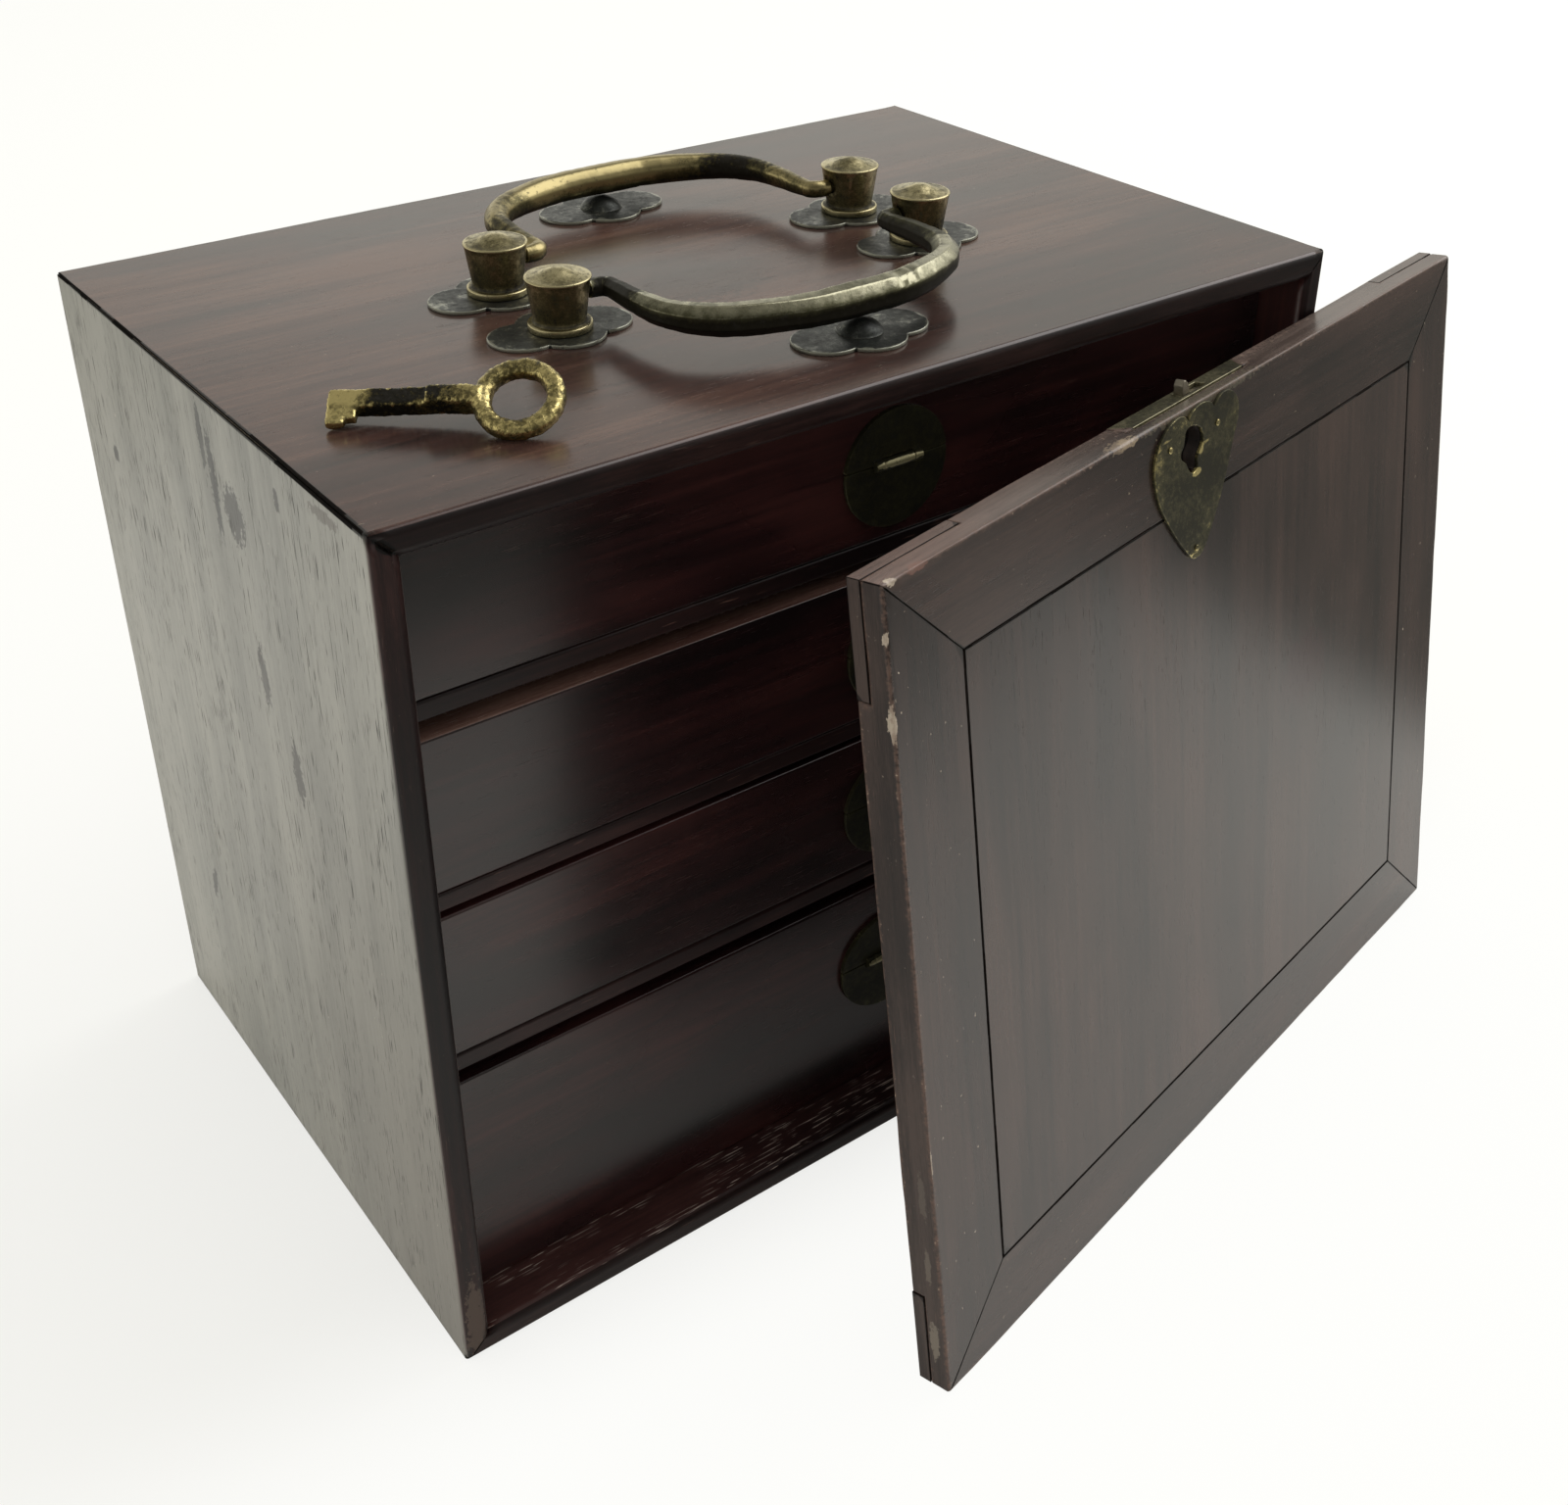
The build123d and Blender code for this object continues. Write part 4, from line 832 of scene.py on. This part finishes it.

# Brass; the bails and posts are painted darker towards the bottom as shade
GRIME = srgb(34, 30, 22)
bail_rear_brass = brass(
    "brass_rear_bail", 1, srgb(170, 156, 112), srgb(98, 91, 62), GRIME, shine=0.52, rough=0.3, pitted=0.25,
    mottle=0.8, painted_shade_below=(205.6, 208.8, 0.25),
    spots_and_highlights=[
        ((-38.5, 9, 209), (4, 4, 5), ACROSS, 0.5), ((-4, 42, 210), (30, 8, 8), ACROSS, 0.2),
        ((-36, 20, 208), (9, 12, 8), ACROSS, -0.14), ((30, 30, 208), (12, 12, 8), ACROSS, -0.25),
    ],
)
bail_front_brass = brass(
    "brass_front_bail", 2, srgb(170, 166, 142), srgb(88, 86, 66), srgb(38, 35, 26), shine=0.52, rough=0.24, pitted=0.2,
    mottle=0.4, painted_shade_below=(206.6, 210.2, 0.42),
    spots_and_highlights=[
        ((10.7, -55.1, 210), (2, 2, 2), ACROSS, 0.5), ((-31.6, -51.7, 210), (2, 2, 2), ACROSS, 0.5),
        ((-37, -24, 208), (6, 10, 8), ACROSS, -0.35), ((37, -30, 208), (6, 18, 8), ACROSS, -0.2),
    ],
)
post_brass = brass(
    "brass_posts", 3, srgb(204, 192, 150), srgb(124, 115, 82), srgb(32, 28, 20), shine=0.54, rough=0.26,
    painted_shade_below=(202.5, 211.6, 0.14),
)
plate_brass = brass(
    "brass_blackened", 4, srgb(150, 150, 138), srgb(66, 68, 65), srgb(27, 28, 27), shine=0.42, rough=0.2, metal=0.75,
    rims=0.55,
)
# Painted highlights: a bright line of clean metal along each pull's barrel
barrel_highlights = []
for number in DRAWERS:
    low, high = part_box(f"drawer_{number}_pull_pin")
    centre = (Vector(low) + Vector(high)) / 2 / MM + Vector((0, -1.4, 0.5))
    barrel_highlights.append((tuple(centre), (8.5, 0.95, 1.5), ACROSS, 1.2))
pull_brass = brass(
    "brass_pulls", 5, srgb(176, 168, 132), srgb(62, 59, 39), srgb(28, 26, 18), shine=0.34, rough=0.32, metal=0.7,
    mottle=0.6, rims=0.1, spots_and_highlights=barrel_highlights,
)
lock_brass = brass("brass_lock", 6, srgb(158, 152, 124), srgb(88, 85, 66), GRIME, shine=0.5, rough=0.3, metal=0.8)
plain_steel = brass("brass_bolt", 8, srgb(150, 142, 128), srgb(86, 80, 72), GRIME, shine=0.5, rough=0.36)
leaf_brass = brass(
    "brass_escutcheon", 9, srgb(224, 206, 144), srgb(96, 92, 70), srgb(50, 48, 37), shine=0.36, rough=0.26,
    metal=0.85, rims=0.2,
    spots_and_highlights=[
        (tuple(door_point(-26, 181)), (3, 6, 3), DOOR_WIDE, 0.08),
        (tuple(door_point(-11, 154.2)), (4, 2.5, 3), DOOR_WIDE, 0.16),
        # Rubbed metal at the keyhole's right and lower edges, painted bright as glints
        (tuple(door_point(-9.2, 177.8)), (1.3, 2.2, 3), DOOR_WIDE, 0.9),
        (tuple(door_point(-10.9, 172.8)), (2.4, 1.2, 3), DOOR_WIDE, 0.9),
    ],
)
KEY_BOW, KEY_STEM = Vector((-76.2, -52.5, 204.9)), Vector((-0.798, 0.603, 0))
KEY_AXES = (KEY_STEM, Z.cross(KEY_STEM), Z)
key_brass = brass(
    "brass_key", 7, srgb(222, 204, 140), srgb(124, 113, 74), srgb(34, 31, 24), shine=0.5, rough=0.24, pitted=1.8,
    spots_and_highlights=[
        ((-92.8, -40, 203.6), (15, 7, 7), KEY_AXES, -0.3),
        ((-100.5, -34, 205), (5, 5, 5), KEY_AXES, 0.35),
    ],
)

# Wooden pieces


def arris_open(point):
    """How far the mitre of the left upper arris has opened, in mm: widest in front."""
    if point.x > -113 or point.z < 195:
        return 0.0
    return 0.42 + 0.42 * max(0.0, min(1.0, (70 - point.y) / 140)) + 0.12 * noise.noise(point * 0.11)


FRONT_CHIPS = [
    ((-118, -77, 199), 7, 0.8), ((CASE_HALF_WIDTH, -CASE_HALF_DEPTH, CASE_HEIGHT), 8, 1.6),
    ((-CASE_HALF_WIDTH, 20, CASE_HEIGHT), 6, 0.5),
]
for node, axes, material, seed in (
    ("left_side", UPRIGHT, side_wood, 1),
    ("right_side", UPRIGHT, right_wood, 2),
    ("top_board", ACROSS, top_wood, 3),
    ("bottom_board", ACROSS, bottom_wood, 4),
):
    board(
        node, "case", material, axes, width=0.6, seed=seed,
        chips=FRONT_CHIPS, opening=arris_open, second=(edge_wood if axes == UPRIGHT else front_wood, -Y),
    )
for number, rubbed in ((1, 0.8), (2, 0.5), (3, 0.5)):
    board(
        f"divider_{number}", "case", divider_wood, ACROSS, width=rubbed, wobble=0.9, seed=10 + number
    )
raw_edge = ([(Z, 149.05, 149.2)], *RAW, 1)
for number in DRAWERS:
    material = wood(
        f"rosewood_drawer_{number}", ACROSS, 20 + number, srgb(18, 11, 12), srgb(36, 18, 19), srgb(58, 30, 29),
        srgb(126, 96, 86), rough=0.27, pores=0.2, scuffs=0.1, relief=0.35, zones=[raw_edge] if number == 2 else (),
    )
    board(f"drawer_{number}_front", f"drawer_{number}", material, ACROSS, seed=20 + number)


def frame_inside(point):
    """Whether a point is on the door frame's inner edge, next to the panel."""
    away = point - DOOR_ORIGIN
    x, y = away.dot(DOOR_X), away.dot(DOOR_UP)
    return abs(x) < 92.2 and 20.5 < y < 166.9


WEDGES = []
for rear, forward in ((-30.9, -27.9), (18.5, 15.5)):
    places = ((rear, -3.62), (forward, -3.62), (rear, -7.98))
    corner = [door_point(x, 186.65, out) for x, out in places]
    WEDGES.append(([point * MM for point in corner], DOOR_UP * 0.75 * MM))
DOOR_CHIPS = [
    (tuple(door_point(x, y)), radius, extra)
    for x, y, radius, extra in (
        (-DOOR_HALF, DOOR_HEIGHT, 7, 1.0), (DOOR_HALF, DOOR_HEIGHT, 7, 2.6), (-DOOR_HALF, 160, 7, 1.6),
        (-DOOR_HALF, 177, 4, 1.2), (-DOOR_HALF, 30, 25, 0.9), (-35, DOOR_HEIGHT, 12, 1.0), (-DOOR_HALF, 0, 8, 1.0),
    )
]
HOLE = [
    (-11.8, 182.9), (-9.9, 181.9), (-9.0, 180.2), (-8.9, 178.6), (-9.5, 177.5), (-10.6, 175.9), (-10.7, 173.9),
    (-12.0, 173.1), (-13.3, 174.2), (-14.2, 176.0), (-15.5, 177.3), (-15.7, 178.6), (-14.9, 179.6), (-14.5, 181.0),
    (-14.3, 182.2), (-13.4, 183.0),
]
hole = smooth_line(HOLE, 3, closed=True)
hole = [(-12.5 + (point.x + 12.2) * 1.3, 178.4 + (point.y - 178.2) * 1.06) for point in hole]
bm = bmesh.new()
prism(bm, [door_point(x, y, -2.8) * MM for x, y in hole], DOOR_OUT * 3.8 * MM)
punch = linked("keyhole", mesh_of(bm, "keyhole"))
for node, axes, material, seed in (
    ("door_stile_left", DOOR_TALL, door_tall_wood, 31),
    ("door_stile_right", DOOR_TALL, door_tall_wood, 32),
    ("door_rail_top", DOOR_WIDE, door_wide_wood, 33),
    ("door_rail_bottom", DOOR_WIDE, door_wide_wood, 34),
    ("door_panel", DOOR_TALL, panel_wood, 35),
):
    board(
        node, "door", material, axes, wobble=0.8, seed=seed,
        chips=DOOR_CHIPS, dark=frame_inside, wedges=WEDGES if node == "door_rail_top" else (),
        second=(door_edge_wood, -DOOR_X), cut=punch if node == "door_rail_top" else None,
    )
bpy.data.objects.remove(punch)
board(
    "door_corner_keys", "door", door_wide_wood, DOOR_WIDE, seed=36, joint=0.12,
    dark=lambda point: True, least=2.5, ring=1.4, second=(door_edge_wood, -DOOR_X),
)
for number in DRAWERS:
    for side in ("sides", "back", "bottom"):
        paint(f"drawer_{number}_{side}", inner_wood)
paint("back_panel", back_wood)

# Handles
NICKS = [((10.7, -55.1, 211), 2.1, 0.9), ((-31.6, -51.7, 210.6), 1.9, 0.8), ((14.5, -55.3, 211), 1.2, 0.5)]
bail("bail_front", -1, FRONT_POST_Y, bail_front_brass, 0.13, 3, NICKS)
bail("bail_rear", 1, REAR_POST_Y, bail_rear_brass, 0.3, 8)

POST = [
    (0, -8.3), (2, -8.3), (2, 0), (6.4, 0), (6.7, 0.2), (6.72, 1.25), (6.5, 1.5), (5.75, 1.56), (5.45, 1.75),
    (5.42, 2.3), (5.6, 3.2), (6.05, 6.4), (6.5, 9.6), (6.66, 10.45), (6.84, 10.7), (6.86, 10.95), (6.7, 11.1),
    (6.2, 11.14), (5.2, 11.3), (3.8, 11.75), (2.4, 12.32), (1.3, 12.68), (0.6, 12.78), (0, 12.79),
]
BORE_RADIUS, BORE_DEPTH = 1.62, 6
bm = bmesh.new()
bores = bmesh.new()
corners = ((-1, FRONT_POST_Y), (1, FRONT_POST_Y), (-1, REAR_POST_Y), (1, REAR_POST_Y))
for number, (side, y) in enumerate(corners):
    lathe(bm, POST, (side * POST_X, y), 72, 0.05, number * 4.0)
    middle = Vector((side * POST_X - side * 4.95, y, PIVOT_Z))
    bmesh.ops.create_cone(
        bores, matrix=Matrix.Translation(middle * MM) @ Matrix.Rotation(math.pi / 2, 4, "Y"), cap_ends=True,
        segments=24, radius1=BORE_RADIUS * MM, radius2=BORE_RADIUS * MM, depth=BORE_DEPTH * MM,
    )
bmesh.ops.recalc_face_normals(bm, faces=bm.faces)
bmesh.ops.recalc_face_normals(bores, faces=bores.faces)
drill = linked("bores", mesh_of(bores, "bores"))
posts = shaded(bm, "handle_posts_turned", 50, difference(drill))
bpy.data.objects.remove(drill)
place(posts, "handle_posts_turned", "case", "handle_posts", post_brass)

DOME = 5.93
STUD = [(0, -4), (1, -4), (1, 0), (4.95, 0), (5.06, 0.1)]
for degrees in range(58, 2, -4):
    turn = math.radians(degrees)
    STUD.append((DOME * math.sin(turn), DOME * math.cos(turn) - 3.04))
STUD.append((0, 2.89))
bm = bmesh.new()
for number, (x, y) in enumerate(((0.8, -54.9), (0.8, 45.1))):
    lathe(bm, STUD, (x, y), 64, 0.08, 20 + number * 4.0)
bmesh.ops.recalc_face_normals(bm, faces=bm.faces)
studs = shaded(bm, "rest_studs_turned", 40)
place(studs, "rest_studs_turned", "case", "rest_studs", plate_brass)
for node in ("post_plates", "rest_plates"):
    softened(node, node + "_worn", "case", plate_brass, width=0.2, net=(X, Y))

# Key: a rough casting, whose bow is drawn out towards the front
BOW_RADIUS, DRAWN_OUT = 8.4, 0.13
BACKWARDS = Vector((0.6, 0.8, 0))
bm = solid_copy("key")
cast = evaluated(
    bm, "key_cast", ("REMESH", {"mode": "VOXEL", "voxel_size": 0.3 * MM, "use_smooth_shade": True}),
    ("SMOOTH", {"factor": 0.5, "iterations": 14}),
)
for vertex in cast.vertices:
    spot = vertex.co / MM
    rough = 0.16 + noise.noise(spot * 0.5) * 0.16 + noise.noise(spot * 1.3) * 0.13 + noise.noise(spot * 3.1) * 0.07
    moved = spot + vertex.normal * rough
    away = spot - KEY_BOW
    share = 1 - max(0.0, min(1.0, (away.dot(KEY_STEM) - 3) / 11))
    moved -= BACKWARDS * DRAWN_OUT * (BOW_RADIUS - away.dot(BACKWARDS)) * share * share * (3 - 2 * share)
    moved.z = max(moved.z, CASE_HEIGHT + 0.03)
    vertex.co = moved * MM
place(cast, "key_cast", "key", "key", key_brass)

# Lock


def set_at(bm, origin, axes):
    """Moves a sheet from its own coordinates in mm to an origin and three axes."""
    moving = Matrix.Scale(MM, 4) @ Matrix.Translation(origin) @ Matrix(axes).transposed().to_4x4()
    bmesh.ops.transform(bm, matrix=moving, verts=bm.verts)
    return bm


LEAF = [
    (-13.9, 186.0), (-15.4, 187.5), (-17.6, 188.0), (-20.4, 187.5), (-22.9, 186.2), (-25, 184.2), (-26.6, 181.4),
    (-27.1, 178.6), (-26.6, 175), (-25.2, 170.6), (-22.5, 166.0), (-18.9, 160.8), (-14.9, 155.9), (-12.8, 153.8),
    (-11.2, 153.35), (-9.2, 153.6), (-7.4, 155.0), (-5.4, 157.6), (-3, 161.2), (-0.6, 165.2), (1.6, 169.6),
    (3.2, 173.4), (4.6, 176.6), (5.9, 179.2), (6.6, 182), (6.2, 184.4), (4.8, 186.5), (2.2, 187.9), (-0.4, 187.9),
    (-2.4, 186.9), (-3.7, 185.9),
]
LOBE = [(-3.7, 185.9), (-4.6, 187.2), (-6.6, 188.1), (-9.2, 188.35), (-11.6, 187.8), (-13.2, 186.9), (-13.9, 186.0)]
leaf = smooth_line(LEAF, 5)[:-1] + smooth_line(LOBE, 5)[:-1]
leaf = [(point.x, 153.4 + (point.y - 153.35) * 0.965) for point in leaf]
mesh = shaded(set_at(sheet([leaf, hole], 0.8, 0.17, 3), DOOR_ORIGIN, DOOR_WIDE), "escutcheon_leaf")
place(mesh, "escutcheon_leaf", "door", "escutcheon", leaf_brass)

plate = [(-30.8, -7.98), (-28.0, -3.66), (15.6, -3.66), (18.4, -7.98)]
slot = [(-7.1, -7.1), (2.1, -7.1), (2.1, -4.5), (-7.1, -4.5)]
bm = set_at(sheet([plate, slot], 0.78, 0.12), DOOR_ORIGIN + DOOR_UP * 187.38, (DOOR_X, DOOR_OUT, -DOOR_UP))
softened("lock_plate", "lock_plate_cut", "door", lock_brass, bm=bm, width=0.02)

corners = [vertex.co / MM - DOOR_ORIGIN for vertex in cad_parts["lock_bolt"].data.vertices]
outs = [corner.dot(DOOR_OUT) for corner in corners]
low = min(corner.dot(DOOR_UP) for corner in corners)
foot = low + 4.5
bolt = [
    (-10.5, low), (5.5, low), (5.5, foot), (2, foot), (2, 186.4), (-3.9, 186.5), (-4.2, 188.4), (-4.8, 189.7),
    (-5.7, 190.5), (-6.3, 190.3), (-7, 189.4), (-7, 187.9), (-7, foot), (-10.5, foot),
]
bm = bmesh.new()
prism(bm, [door_point(x, y, min(outs)) * MM for x, y in bolt], DOOR_OUT * (max(outs) - min(outs)) * MM)
softened("lock_bolt", "lock_bolt_worn", "lock_bolt", plain_steel, width=0.3, bm=bm)
softened("escutcheon_nails", "escutcheon_nails_worn", "door", leaf_brass, width=0.15)

# Pulls and hidden metal
for number in DRAWERS:
    for kind, body in (("plate", f"drawer_{number}"), ("flap", f"flap_{number}")):
        node = f"drawer_{number}_pull_{kind}"
        softened(node, f"pull_{kind}_{number}", body, pull_brass, net=(X, Z))
    paint(f"drawer_{number}_pull_pin", pull_brass)
for node in ("strike_plate", "post_washers", "lock_case", "lock_cover", "lock_pin", "lock_spring"):
    paint(node, lock_brass)
